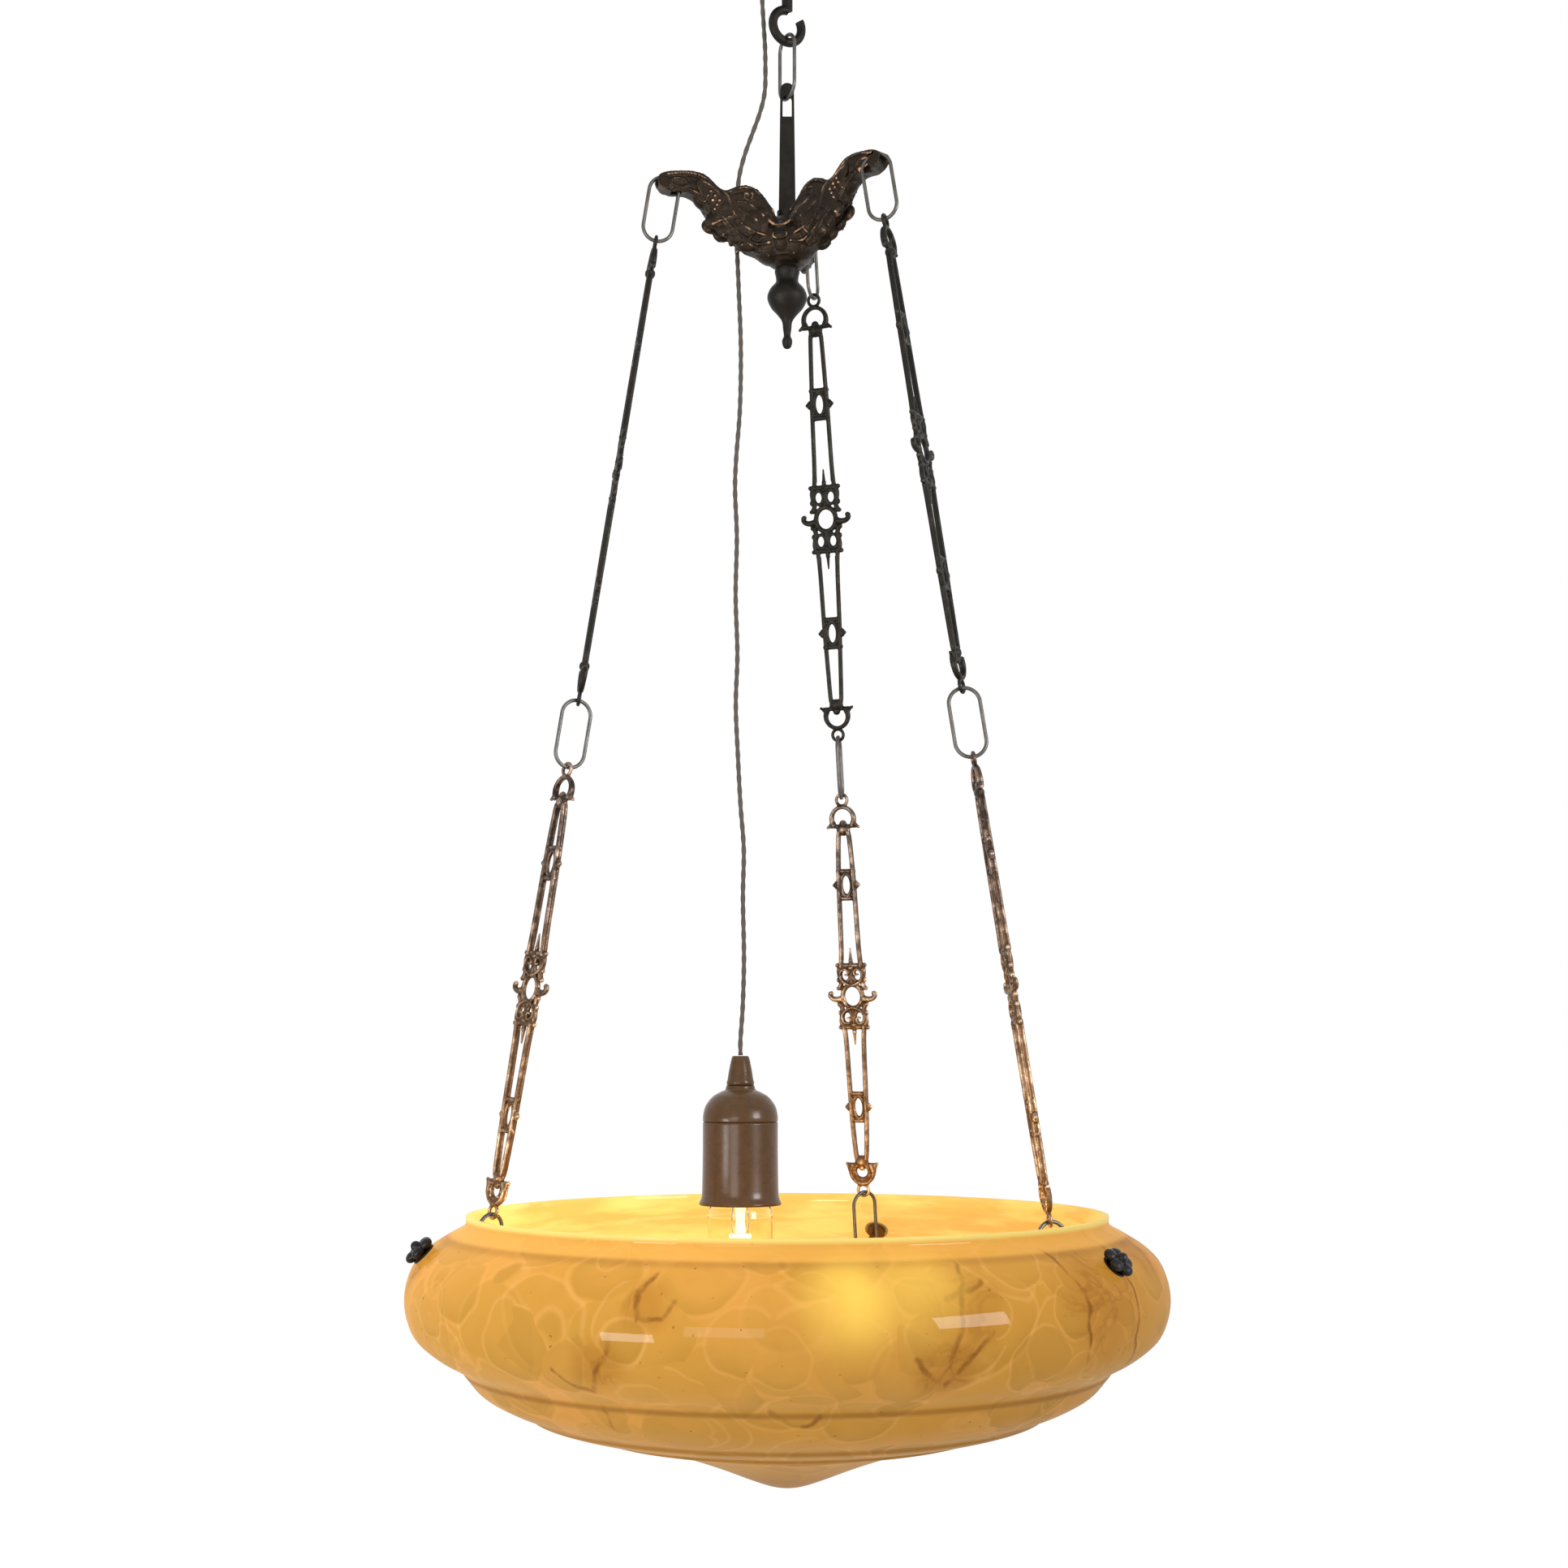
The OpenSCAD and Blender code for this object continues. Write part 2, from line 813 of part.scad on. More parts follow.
module centre_contact() {
    color("goldenrod")
        translate([holder_at[0], holder_at[1], rim_z + 37.6])
            cylinder(r = 3, h = 4.9);
}

module bulb_tip() {
    color("silver")
        translate([holder_at[0], holder_at[1], rim_z])
            rotate_extrude()
                polygon([[0, 35.05], [4.4, 35.05], [3.6, 36.4], [2, 37.2], [0, 37.25]]);
}

// Cap with a rolled thread, drawn as rings
module bulb_cap() {
    color("silver")
        translate([holder_at[0], holder_at[1], rim_z])
            rotate_extrude()
                polygon(concat(
                    [[0, 35], [4.6, 35], [8, 33.2], [cap_r - 1.2, 31]],
                    [for (i = [0 : 20]) [cap_r - 0.5 + 0.45 * cos(i * 90), 30 - i * 0.75]],
                    [[cap_r - 0.4, 14], [cap_r + 0.2, 12], [cap_r - 1, 12], [0, 12]]
                ));
}

module bulb_glass() {
    color("lightyellow")
        translate([holder_at[0], holder_at[1], rim_z])
            rotate_extrude($fn = 64)
                polygon([
                    [cap_r - 1.2, 11.9], [cap_r - 1, 7], [14.6, 4.6], [16.6, 2.4], [bulb_r, -1.4],
                    [bulb_r, bulb_low + 14], [15.6, bulb_low + 6], [11, bulb_low + 1.8], [5, bulb_low + 0.2],
                    [0, bulb_low], [0, bulb_low + 1], [5, bulb_low + 1.2], [10.6, bulb_low + 2.8],
                    [14.8, bulb_low + 6.8], [bulb_r - 1, bulb_low + 14], [bulb_r - 1, -1.6], [15.8, 1.6],
                    [14, 3.6], [cap_r - 2, 6], [cap_r - 2.2, 11.9]
                ]);
}

module bulb_stem() {
    color("white")
        translate([holder_at[0], holder_at[1], rim_z]) {
            translate([0, 0, 2])
                cylinder(r = 7, h = 9.9);
            translate([0, 0, -15.9])
                cylinder(r = 2.6, h = 18);
        }
}

module bulb_capsule() {
    color("lightyellow")
        translate([holder_at[0], holder_at[1], rim_z])
            rotate_extrude($fn = 32)
                polygon([
                    [0, -16], [6, -17.5], [6.4, -20], [6.4, -46], [5, -49.6], [2, -51.4], [0, -51.8],
                    [0, -51], [1.8, -50.6], [4.4, -49], [5.6, -45.8], [5.6, -20.4], [5.2, -18.6], [0, -17]
                ]);
}

module filament() {
    color("orange")
        translate([holder_at[0], holder_at[1], rim_z]) {
            translate([0, 0, -44])
                cylinder(r = 1.1, h = 22);
            translate([0, 0, -50.4])
                cylinder(r = 0.35, h = 33);
        }
}

module lead_wires() {
    color("silver")
        translate([holder_at[0], holder_at[1], rim_z])
            for (side = [-1, 1]) {
                translate([side * 8.6, 0, -30])
                    cylinder(r = 0.5, h = 33.5);
                rod([side * 8.9, 0, 3.2], [side * 7.1, 0, 3.2], 0.5);
                rod([side * 8.9, 0, -29.7], [side * 6.5, 0, -29.7], 0.5);
            }
}

ceiling_plate();
rose_hook();
hook_nut();
terminal_block();
terminal_screws();
cord_upper();
ceiling_rose();
rose_collar();
collar_screw();
cord_bush();
hanging_link();
hanger_strap();
crown();
crown_stud();
finial();
cord_middle();
top_link(1);  // top_link_1
top_link(2);  // top_link_2
top_link(3);  // top_link_3
upper_bar(1);  // upper_bar_1
upper_bar(2);  // upper_bar_2
upper_bar(3);  // upper_bar_3
middle_link(1);  // middle_link_1
middle_link(2);  // middle_link_2
middle_link(3);  // middle_link_3
lower_bar(1);  // lower_bar_1
lower_bar(2);  // lower_bar_2
lower_bar(3);  // lower_bar_3
bottom_link(1);  // bottom_link_1
bottom_link(2);  // bottom_link_2
bottom_link(3);  // bottom_link_3
glass_bowl();
bowl_hook(1);  // bowl_hook_1
bowl_hook(2);  // bowl_hook_2
bowl_hook(3);  // bowl_hook_3
inner_washers();
outer_washers();
rosette(1);  // rosette_1
rosette(2);  // rosette_2
rosette(3);  // rosette_3
cord_drop();
cord_grip();
holder_dome();
holder_body();
holder_core();
screw_shell();
centre_contact();
holder_screws();
bulb_tip();
bulb_cap();
bulb_glass();
bulb_stem();
bulb_capsule();
filament();
lead_wires();
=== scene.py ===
# %% [markdown]
# # A bowl pendant light
# A marbled glass bowl hangs on three chains of cast bars, under a cast crown, and a lampholder hangs into
# it on a twin cord. The construction comes in packed, with a body for each part that moves. All of it could
# be modelled anew. This scene keeps the plain pieces instead, makes only those again that the photograph
# shows in more detail, and adds surfaces, light and camera, so that both keep one frame and one size.

# %% Load the construction
import json
import math
from functools import reduce

import bmesh
import bpy
import numpy as np
from mathutils import Matrix, Vector
from mathutils.bvhtree import BVHTree
from mathutils.kdtree import KDTree


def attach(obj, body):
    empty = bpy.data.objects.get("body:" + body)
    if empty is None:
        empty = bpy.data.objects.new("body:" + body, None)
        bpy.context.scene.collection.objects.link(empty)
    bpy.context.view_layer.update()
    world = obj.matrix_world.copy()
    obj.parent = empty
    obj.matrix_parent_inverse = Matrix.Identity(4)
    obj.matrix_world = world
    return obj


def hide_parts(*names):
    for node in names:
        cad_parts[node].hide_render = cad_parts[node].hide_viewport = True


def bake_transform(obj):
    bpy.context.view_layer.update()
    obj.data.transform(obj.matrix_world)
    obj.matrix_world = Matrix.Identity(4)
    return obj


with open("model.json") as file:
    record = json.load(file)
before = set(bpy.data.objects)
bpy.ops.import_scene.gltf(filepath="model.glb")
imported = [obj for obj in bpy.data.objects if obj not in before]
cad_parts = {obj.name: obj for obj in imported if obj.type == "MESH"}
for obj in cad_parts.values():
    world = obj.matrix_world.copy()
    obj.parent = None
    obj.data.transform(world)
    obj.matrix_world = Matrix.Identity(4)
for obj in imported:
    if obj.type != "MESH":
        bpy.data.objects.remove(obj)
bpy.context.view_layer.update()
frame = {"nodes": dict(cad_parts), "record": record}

MM = 0.001
RIM = -742.0
slot_of = {p["node"]: p["material_slot"] for p in frame["record"]["subparts"]}


def in_scene(name, data):
    """A new object that shows the data."""
    obj = bpy.data.objects.new(name, data)
    bpy.context.scene.collection.objects.link(obj)
    return obj


# %% [markdown]
# ## Camera
# The light is seen from a little over the rim, so that the inside of the bowl just shows. A camera can be
# placed by eye. This one was fitted to the rim, the belly, the chains and the crown together, because they
# lie at different depths. It stands 1.2 m in front of the bowl's axis and looks up by 4.4 degrees.

# %% Camera
cam = bpy.data.cameras.new("photo_camera")
cam.lens = 51.5
cam.sensor_width = 36
cam.shift_y = 0.062
camera = in_scene("photo_camera", cam)
camera.location = (0, -1.2, (RIM + 84.75) * MM)
camera.rotation_euler = (math.radians(94.37), 0, math.radians(0.083))
bpy.context.scene.camera = camera
bpy.context.scene.view_settings.view_transform = "Standard"
print("camera", tuple(round(v, 3) for v in camera.location))

# %% [markdown]
# ## Helpers
# Most pieces of this light are turned, or are round bars along a path. Blender's Screw modifier and its
# curves make both. Here the rings of points are written out, because a closed outline with its inner wall
# is then one clean mesh, poles and all. Points are in millimetres, and meshes are stored in metres.


# %% Helpers for meshes
def piece(name, verts, faces):
    """A smooth mesh from points in millimetres, in the scene."""
    mesh = bpy.data.meshes.new(name)
    mesh.from_pydata([tuple(c * MM for c in v) for v in verts], [], faces)
    mesh.validate()
    for p in mesh.polygons:
        p.use_smooth = True
    return in_scene(name, mesh)


def curve_through(points, steps):
    """Catmull-Rom points through the given ones."""
    p = np.array(points, float)
    q = np.vstack([2 * p[0] - p[1], p, 2 * p[-1] - p[-2]])
    out = []
    for i in range(1, len(q) - 2):
        for j in range(steps):
            t = j / steps
            a, b, c, d = q[i - 1 : i + 3]
            square, cube = 2 * a - 5 * b + 4 * c - d, 3 * b - a - 3 * c + d
            out.append(0.5 * (2 * b + (c - a) * t + square * t**2 + cube * t**3))
    out.append(p[-1])
    return np.array(out)


def full_turn(count):
    """The angles of a full turn, in equal steps."""
    return [2 * math.pi * i / count for i in range(count)]


def around(radius, angle, z, at=(0, 0, 0)):
    """A point at a radius and an angle round the upright line through at."""
    return (at[0] + radius * math.cos(angle), at[1] + radius * math.sin(angle), at[2] + z)


def lathe(name, profile, segments=96, at=(0, 0, 0)):
    """A closed outline of (radius, height) turned about Z. Points on the axis become poles."""
    verts, faces, rows = [], [], []
    for r, z in profile:
        if r < 1e-6:
            rows.append([len(verts)] * segments)
            verts.append(around(0, 0, z, at))
        else:
            rows.append([len(verts) + s for s in range(segments)])
            verts += [around(r, a, z, at) for a in full_turn(segments)]
    closed = profile[0][0] > 1e-6 or profile[-1][0] > 1e-6
    count = len(rows) if closed else len(rows) - 1
    for i in range(count):
        a, b = rows[i], rows[(i + 1) % len(rows)]
        for s in range(segments):
            n = (s + 1) % segments
            face = [a[s], a[n], b[n], b[s]]
            face = [v for k, v in enumerate(face) if v not in face[:k]]
            if len(face) > 2:
                faces.append(face)
    obj = piece(name, verts, faces)
    outward(obj)
    return obj


def outward(obj):
    """Turn every face to the outside."""
    bm = bmesh.new()
    bm.from_mesh(obj.data)
    bmesh.ops.recalc_face_normals(bm, faces=bm.faces)
    bm.to_mesh(obj.data)
    bm.free()


def skin(rows, sides, closed=False):
    """The faces over rows of points, with both ends, or with the last row joined to the first."""
    faces = []
    for i in range(rows if closed else rows - 1):
        j = (i + 1) % rows
        for s in range(sides):
            t = (s + 1) % sides
            faces.append((i * sides + s, i * sides + t, j * sides + t, j * sides + s))
    if not closed:
        faces += [tuple(range(sides))[::-1], tuple((rows - 1) * sides + s for s in range(sides))]
    return faces


def sweep(path, radius, sides, up, closed=False):
    """The points and faces of a round bar along a path; radius(i, angle) is its radius there."""
    ahead = np.roll(path, -1, 0) - np.roll(path, 1, 0)
    if not closed:
        ahead[0], ahead[-1] = path[1] - path[0], path[-1] - path[-2]
    ahead /= np.linalg.norm(ahead, axis=1)[:, None]
    verts = []
    for i, point in enumerate(path):
        up = up - ahead[i] * (up @ ahead[i])
        up /= np.linalg.norm(up)
        side = np.cross(ahead[i], up)
        for a in full_turn(sides):
            verts.append(point + radius(i, a) * (math.cos(a) * side + math.sin(a) * up))
    return verts, skin(len(path), sides, closed)


print("helpers ready")

# %% [markdown]
# ## Cord
# The real cord is two thin wires twisted together. It comes down beside the hook, bends out past the crown
# and hangs to the lampholder. Two tubes could be wound round each other, but at 2.6 mm only the outline and
# the twist are seen, so one bar with a waist that turns is enough. It is one cord in three stretches, because
# three bodies carry it.

# %% Cord
CORD_D, WAIST, TWIST = 2.6, 0.2, 13
UPPER = [(-14, 2, -18), (-14, 2, -30), (-14, 2, -42), (-14, 2, -54), (-14, 2, -64), (-13.8, 2, -76),
         (-13, 2, -90), (-12.2, 2, -104), (-12, 2, -117)]
MIDDLE = [(-12, 2, -117), (-12.2, 2, -126), (-13.4, 2, -134), (-16, 2, -143), (-19.6, 2, -153),
          (-23.4, 2, -164), (-26.2, 2, -175), (-27.4, 2, -185)]
DROP = [(-27.4, 2, -185.1), (-27.9, 2, -194), (-28, 2.2, -206), (-26.6, 2.4, -240), (-25.4, 2.2, -272),
        (-25.8, 1.8, -306), (-27.8, 1.8, -334), (-28.4, 2, -352), (-27.4, 2.3, -378), (-28, 2.3, -410),
        (-27, 2, -442), (-27.8, 1.8, -470), (-26.6, 1.9, -498), (-25.2, 2.2, -524), (-23.4, 2.3, -548),
        (-23.8, 2, -574), (-23.2, 1.8, -606), (-23.8, 1.9, -632), (-25, 2, -650), (-25, 2, -658.7)]


def twin_flex(name, route, node):
    steps = max(4, int(np.linalg.norm(np.diff(np.array(route), axis=0), axis=1).max() / 1.2))
    path = curve_through(route, steps)
    run = np.concatenate([[0], np.cumsum(np.linalg.norm(np.diff(path, axis=0), axis=1))])

    def radius(i, a):
        """Two cores, with a waist between them that turns along the cord."""
        return CORD_D / 2 * (1 - WAIST * math.sin(a - run[i] * 2 * math.pi / TWIST) ** 2)

    obj = piece(name, *sweep(path, radius, 16, np.array([0.0, 1.0, 0.0])))
    outward(obj)
    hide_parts(node)
    return obj, float(run[-1])


cord_upper, length_1 = twin_flex("flex_upper", UPPER, "cord_upper")
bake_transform(cord_upper)
cord_middle, length_2 = twin_flex("flex_middle", MIDDLE, "cord_middle")
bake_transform(cord_middle)
cord_drop, length_3 = twin_flex("flex_drop", DROP, "cord_drop")
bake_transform(cord_drop)
print("cord", round(length_1), round(length_2), round(length_3), "mm")

# %% [markdown]
# ## Materials
# The light has old cast metal, rubbed bright where it stands out, brown resin, ceramic and glass. Image
# maps could be painted for each piece. Patterns of nodes in the object's own coordinates have no seams and
# fit every piece, so wear and grain are node groups, and each material gives them its own values. A cast
# piece also stores on its points how much they stand out, and the wear reads that.


# %% Material helpers
class Nodes:
    """Short calls for building a node tree."""

    def __init__(self, tree):
        self.tree = tree

    def add(self, kind, **values):
        node = self.tree.nodes.new(kind)
        for key, value in values.items():
            if hasattr(node, key):
                setattr(node, key, value)
            else:
                self.put(node.inputs[key.replace("_", " ")], value)
        return node

    def put(self, socket, value):
        if isinstance(value, bpy.types.NodeSocket):
            self.tree.links.new(value, socket)
        else:
            socket.default_value = value

    def fill(self, node, *values):
        """Link or set a node's first sockets."""
        for socket, value in zip(node.inputs, values):
            self.put(socket, value)
        return node.outputs

    def give(self, **values):
        """Link or set the shader's sockets."""
        for key, value in values.items():
            self.put(self.shader.inputs[key.replace("_", " ")], value)

    def math(self, operation, *values):
        return self.fill(self.add("ShaderNodeMath", operation=operation), *values)[0]

    def times(self, a, b):
        return self.math("MULTIPLY", a, b)

    def plus(self, a, b):
        return self.math("ADD", a, b)

    def minus(self, a, b):
        return self.math("SUBTRACT", a, b)

    def larger(self, a, b):
        return self.math("MAXIMUM", a, b)

    def vector(self, operation, *values):
        return self.fill(self.add("ShaderNodeVectorMath", operation=operation), *values)

    def xyz(self, vector):
        return self.fill(self.add("ShaderNodeSeparateXYZ"), vector)

    def mix(self, factor, a, b, blend="MIX"):
        node = self.add("ShaderNodeMix", data_type="RGBA", blend_type=blend)
        self.put(node.inputs[0], factor)
        for socket, value in ((node.inputs[6], a), (node.inputs[7], b)):
            self.put(socket, value if isinstance(value, bpy.types.NodeSocket) else (*value, 1))
        return node.outputs[2]

    def step(self, value, low, high):
        """0 at low, 1 at high, smooth between them."""
        node = self.add("ShaderNodeMapRange", interpolation_type="SMOOTHSTEP")
        return self.fill(node, value, low, high, 0.0, 1.0)[0]

    def close_to(self, value, level, near, far):
        """1 within near of the level, 0 beyond far."""
        return self.minus(1.0, self.step(self.math("ABSOLUTE", self.minus(value, level)), near, far))

    def noise(self, where, scale, detail=3.0, rough=0.5, distort=0.0):
        return self.add("ShaderNodeTexNoise", Vector=where, Scale=scale, Detail=detail, Roughness=rough,
                        Distortion=distort).outputs["Fac"]

    def wobble(self, point, where, scale, detail, rough, reach):
        """The point moved by up to half of reach, by the noise at where."""
        node = self.add("ShaderNodeTexNoise", Vector=where, Scale=scale, Detail=detail, Roughness=rough)
        shift = self.vector("SUBTRACT", node.outputs["Color"], (0.5, 0.5, 0.5))[0]
        return self.vector("MULTIPLY_ADD", shift, reach, point)[0]

    def bump(self, height, strength, distance):
        return self.add("ShaderNodeBump", Height=height, Strength=strength, Distance=distance).outputs[0]

    def seen(self):
        """1 for the rays that show the surround: the camera's, and those that metal and glass send on."""
        rays = self.add("ShaderNodeLightPath").outputs
        return reduce(self.larger, [rays[f"Is {kind} Ray"] for kind in ("Camera", "Glossy", "Transmission")])


MATS = {}
VALUE, POINT = "NodeSocketFloat", "NodeSocketVector"


def node_group(name, inputs, outputs):
    """A group of values, vectors and masks, with its in and out nodes."""
    tree = bpy.data.node_groups.new(name, "ShaderNodeTree")
    for way, sockets in (("INPUT", inputs), ("OUTPUT", outputs)):
        for label, kind in sockets.items():
            tree.interface.new_socket(label, in_out=way, socket_type=kind)
    n = Nodes(tree)
    return tree, n, n.add("NodeGroupInput").outputs, n.add("NodeGroupOutput").inputs


def material(name):
    """A new material's nodes, with one shader, and the point that patterns are read at."""
    m = bpy.data.materials.new(name)
    m.use_nodes = True
    m.node_tree.nodes.clear()
    n = Nodes(m.node_tree)
    n.shader = n.add("ShaderNodeBsdfPrincipled")
    n.add("ShaderNodeOutputMaterial", Surface=n.shader.outputs[0])
    MATS[name] = m
    return n, n.add("ShaderNodeTexCoord").outputs["Object"]


def dress(obj, look):
    obj.data.materials.clear()
    obj.data.materials.append(MATS[look])


def settle(obj, body, look, node, replaces=True):
    """Give a piece its material and its body, and hide the node that it stands for unless replaces is false.
    """
    dress(obj, look)
    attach(obj, body)
    if replaces:
        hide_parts(node)


print("material helpers ready")

# %% [markdown]
# ## Wear and grain
# Old metal has a dark skin that is rubbed off in patches, first where it stands out, and small pits. Resin,
# ceramic and glass are even, with a faint grain. Each metal could have a tree of its own, but they differ
# only in a few values, so both effects are groups that give masks and heights, and the shader stays in
# the material itself.

# %% Groups for wear and grain
metal_wear, n, given, result = node_group(
    "metal_wear", {"Vector": POINT, "Worn": VALUE, "Patchy": VALUE, "Sharp": VALUE, "Share": VALUE},
    {"Mask": VALUE, "Skin": VALUE, "Grit": VALUE, "Height": VALUE})
coarse = n.noise(given["Vector"], 140, 5, 0.65)
fine = n.noise(given["Vector"], 900, 4, 0.6)
rubbed = n.plus(given["Worn"], n.times(n.minus(coarse, 0.5), given["Patchy"]))
bare = n.step(rubbed, given["Sharp"], n.plus(given["Sharp"], 0.5))
n.put(result["Mask"], n.times(bare, given["Share"]))
n.put(result["Skin"], n.step(coarse, 0.35, 0.7))
n.put(result["Grit"], n.times(n.minus(fine, 0.5), 0.3))
n.put(result["Height"], n.plus(fine, n.times(coarse, 2.0)))

NOISE = ("Scale", "Detail", "Roughness", "Distortion")
surface_grain, n, given, result = node_group(
    "surface_grain", {"Vector": POINT, **dict.fromkeys(NOISE, VALUE), "Crisp": VALUE, "Fine": VALUE},
    {"Tone": VALUE, "Grain": VALUE, "Height": VALUE})
grain = n.noise(given["Vector"], *(given[label] for label in NOISE))
n.put(result["Tone"], n.plus(grain, n.times(given["Crisp"], n.minus(n.step(grain, 0.3, 0.8), grain))))
n.put(result["Grain"], grain)
n.put(result["Height"], n.noise(given["Vector"], given["Fine"], 2))
print("groups", metal_wear.name, surface_grain.name)


# %% Finishes
def patina(name, dark, bright, wear=0.6, metal=0.85, rough=0.42, bump=0.25, sharp=0.55, patchy=1.5, low=None):
    """Old cast metal: a dark skin, brighter where it is rubbed, with small pits.

    low is a second pair of colours, a painted warm light from the lit bowl, which the metal turns to toward
    the bowl.
    """
    n, where = material(name)
    worn = n.add("ShaderNodeAttribute", attribute_name="wear").outputs["Fac"]
    old = n.add("ShaderNodeGroup", node_tree=metal_wear, Vector=where, Worn=worn, Patchy=patchy, Sharp=sharp,
                Share=wear).outputs
    tone = n.mix(old["Skin"], tuple(c * 0.65 for c in dark), dark)
    # Painted light: toward the bowl the colours turn to those of metal lit by the bowl's warm glow
    if low:
        near = n.step(n.xyz(where)[2], (RIM + 215) * MM, (RIM + 15) * MM)
        tone, bright = n.mix(near, tone, low[0]), n.mix(near, bright, low[1])
    n.give(Base_Color=n.mix(old["Mask"], tone, bright), Metallic=metal, Specular_IOR_Level=0.3,
           Roughness=n.plus(rough, old["Grit"]), Normal=n.bump(old["Height"], bump, 0.0004))


def grained(name, noise, dark, bright, rough=None, crisp=False, bump=None, glow=None, **plain):
    """A material whose colour, roughness and glow follow one noise. plain gives its plain sockets.

    rough and glow are a value and how much the noise adds to it; bump is a finer noise and its strength.
    """
    n, where = material(name)
    values = dict(zip(NOISE, (*noise, *(3.0, 0.5, 0.0)[len(noise) - 1 :])))
    even = n.add("ShaderNodeGroup", node_tree=surface_grain, Vector=where, Crisp=float(crisp),
                 Fine=bump[0] if bump else 1.0, **values).outputs
    tone = n.mix(even["Tone"], dark, bright)
    n.give(Base_Color=tone, **plain)
    if rough:
        n.give(Roughness=n.plus(rough[0], n.times(even["Grain"], rough[1])))
    if bump:
        n.give(Normal=n.bump(even["Height"], bump[1], 0.0002))
    if glow:
        strength = n.plus(glow[0], n.times(n.noise(where, *noise), glow[1]))
        n.give(Emission_Color=tone, Emission_Strength=strength)


print("finishes ready")

# %% [markdown]
# ## Metals, resin, ceramic and cord
# The upper bars and the strap are nearly black, the crown is dark bronze, and the lower bars turn coppery
# toward the bowl, a painted warm light from the lit glass. The fittings at the ceiling are zinc and brass. A
# library of metals could be loaded, but each is just a dark and a bright colour with its share of wear, so
# one line of values says it.

# %% Metals, resin, ceramic and cord
patina("black_iron", (0.021, 0.018, 0.0145), (0.13, 0.11, 0.09), 0.35, 0.7, 0.5)
patina("dark_bronze", (0.031, 0.021, 0.0135), (0.60, 0.34, 0.20), 0.9, 0.8, bump=0.6, sharp=0.66)
patina("bar_bronze", (0.025, 0.022, 0.018), (0.22, 0.165, 0.12), 0.45, 0.75, 0.45, 0.3,
       sharp=0.65, patchy=0.8)
# The lower bars' second pair of colours is a painted warm light from the lit bowl
patina("copper_bronze", (0.055, 0.038, 0.029), (0.58, 0.40, 0.30), 0.9, 0.85, 0.36, 0.3,
       sharp=0.52, patchy=0.9, low=((0.15, 0.075, 0.034), (1.0, 0.70, 0.42)))
patina("rose_metal", (0.07, 0.05, 0.038), (0.34, 0.22, 0.14), 0.3, 0.8, 0.38)
patina("zinc_steel", (0.50, 0.50, 0.48), (0.70, 0.70, 0.68), 0.4, 0.95, 0.38, 0.15)
patina("plain_brass", (0.60, 0.44, 0.18), (0.85, 0.68, 0.36), 0.4, 0.95, 0.3, 0.1)
patina("nickel", (0.62, 0.60, 0.56), (0.80, 0.79, 0.76), 0.4, 0.95, 0.25, 0.1)
patina("knob_black", (0.020, 0.018, 0.018), (0.12, 0.10, 0.09), 0.4, 0.5, 0.38, 0.3)
patina("dull_wire", (0.15, 0.14, 0.13), (0.42, 0.40, 0.37), 0.5, 0.9, 0.45, 0.0)

grained("brown_resin", (220, 4, 0.6, 0.6), (0.092, 0.046, 0.016), (0.116, 0.061, 0.022), (0.24, 0.08), True,
        (1300, 0.08), Specular_IOR_Level=0.2, Coat_Weight=0.12, Coat_Roughness=0.12)
grained("ceramic", (400,), (0.80, 0.77, 0.70), (0.88, 0.86, 0.81), (0.3, 0.2), True)
grained("cord", (700,), (0.060, 0.048, 0.039), (0.140, 0.112, 0.088), (0.55, 0.25), bump=(2200, 0.3))
grained("clear_glass", (60,), (1.0, 0.97, 0.90), (1.0, 0.99, 0.96), (0, 0.05), Transmission_Weight=1.0,
        IOR=1.3)
grained("filament", (900, 2), (1.0, 0.72, 0.30), (1.0, 0.88, 0.60), glow=(12, 0))
grained("lit_glass", (240,), (1.0, 0.88, 0.55), (1.0, 0.95, 0.78), (0.1, 0.1), glow=(0.45, 0.8))
for o in (cord_upper, cord_middle, cord_drop):
    dress(o, "cord")
print("materials", len(MATS))

# %% [markdown]
# ## Marbled glass: patches and veins
# Colours that were worked together leave rounded patches in the glass, with pale lines between them, and
# brown veins. Noise alone gives clouds, so each patch is a disc in a cell of a Voronoi texture. A vein is
# a line between two points, and a few vector sums tell how near it is. Both are groups, because the glass
# uses them many times.

# %% Groups for patches and veins
# Rounded patches: a disc in each cell, with a pale line round it and a darker lower part
patches, n, given, result = node_group("glass_patches", {"Vector": POINT, "Scale": VALUE, "Size": VALUE},
                                       {"Mask": VALUE, "Line": VALUE, "Low": VALUE, "Tone": VALUE})
cell = n.add("ShaderNodeTexVoronoi", feature="F1", Vector=given["Vector"], Scale=given["Scale"]).outputs
chance = n.add("ShaderNodeSeparateColor", Color=cell["Color"]).outputs
reach = n.times(given["Size"], n.plus(0.62, n.times(chance[0], 0.5)))
gap = n.minus(cell["Distance"], reach)
edge = n.step(n.math("DIVIDE", cell["Distance"], reach), 0.5, 1.0)
mask = n.minus(1.0, n.step(gap, -0.035, 0.0))
below = n.xyz(n.vector("SUBTRACT", cell["Position"], given["Vector"])[0])[2]
n.put(result["Mask"], mask)
n.put(result["Line"], n.close_to(gap, 0.016, 0.004, 0.034))
n.put(result["Low"], n.times(n.times(mask, edge), n.step(n.times(below, given["Scale"]), -0.05, 0.4)))
n.put(result["Tone"], chance[1])

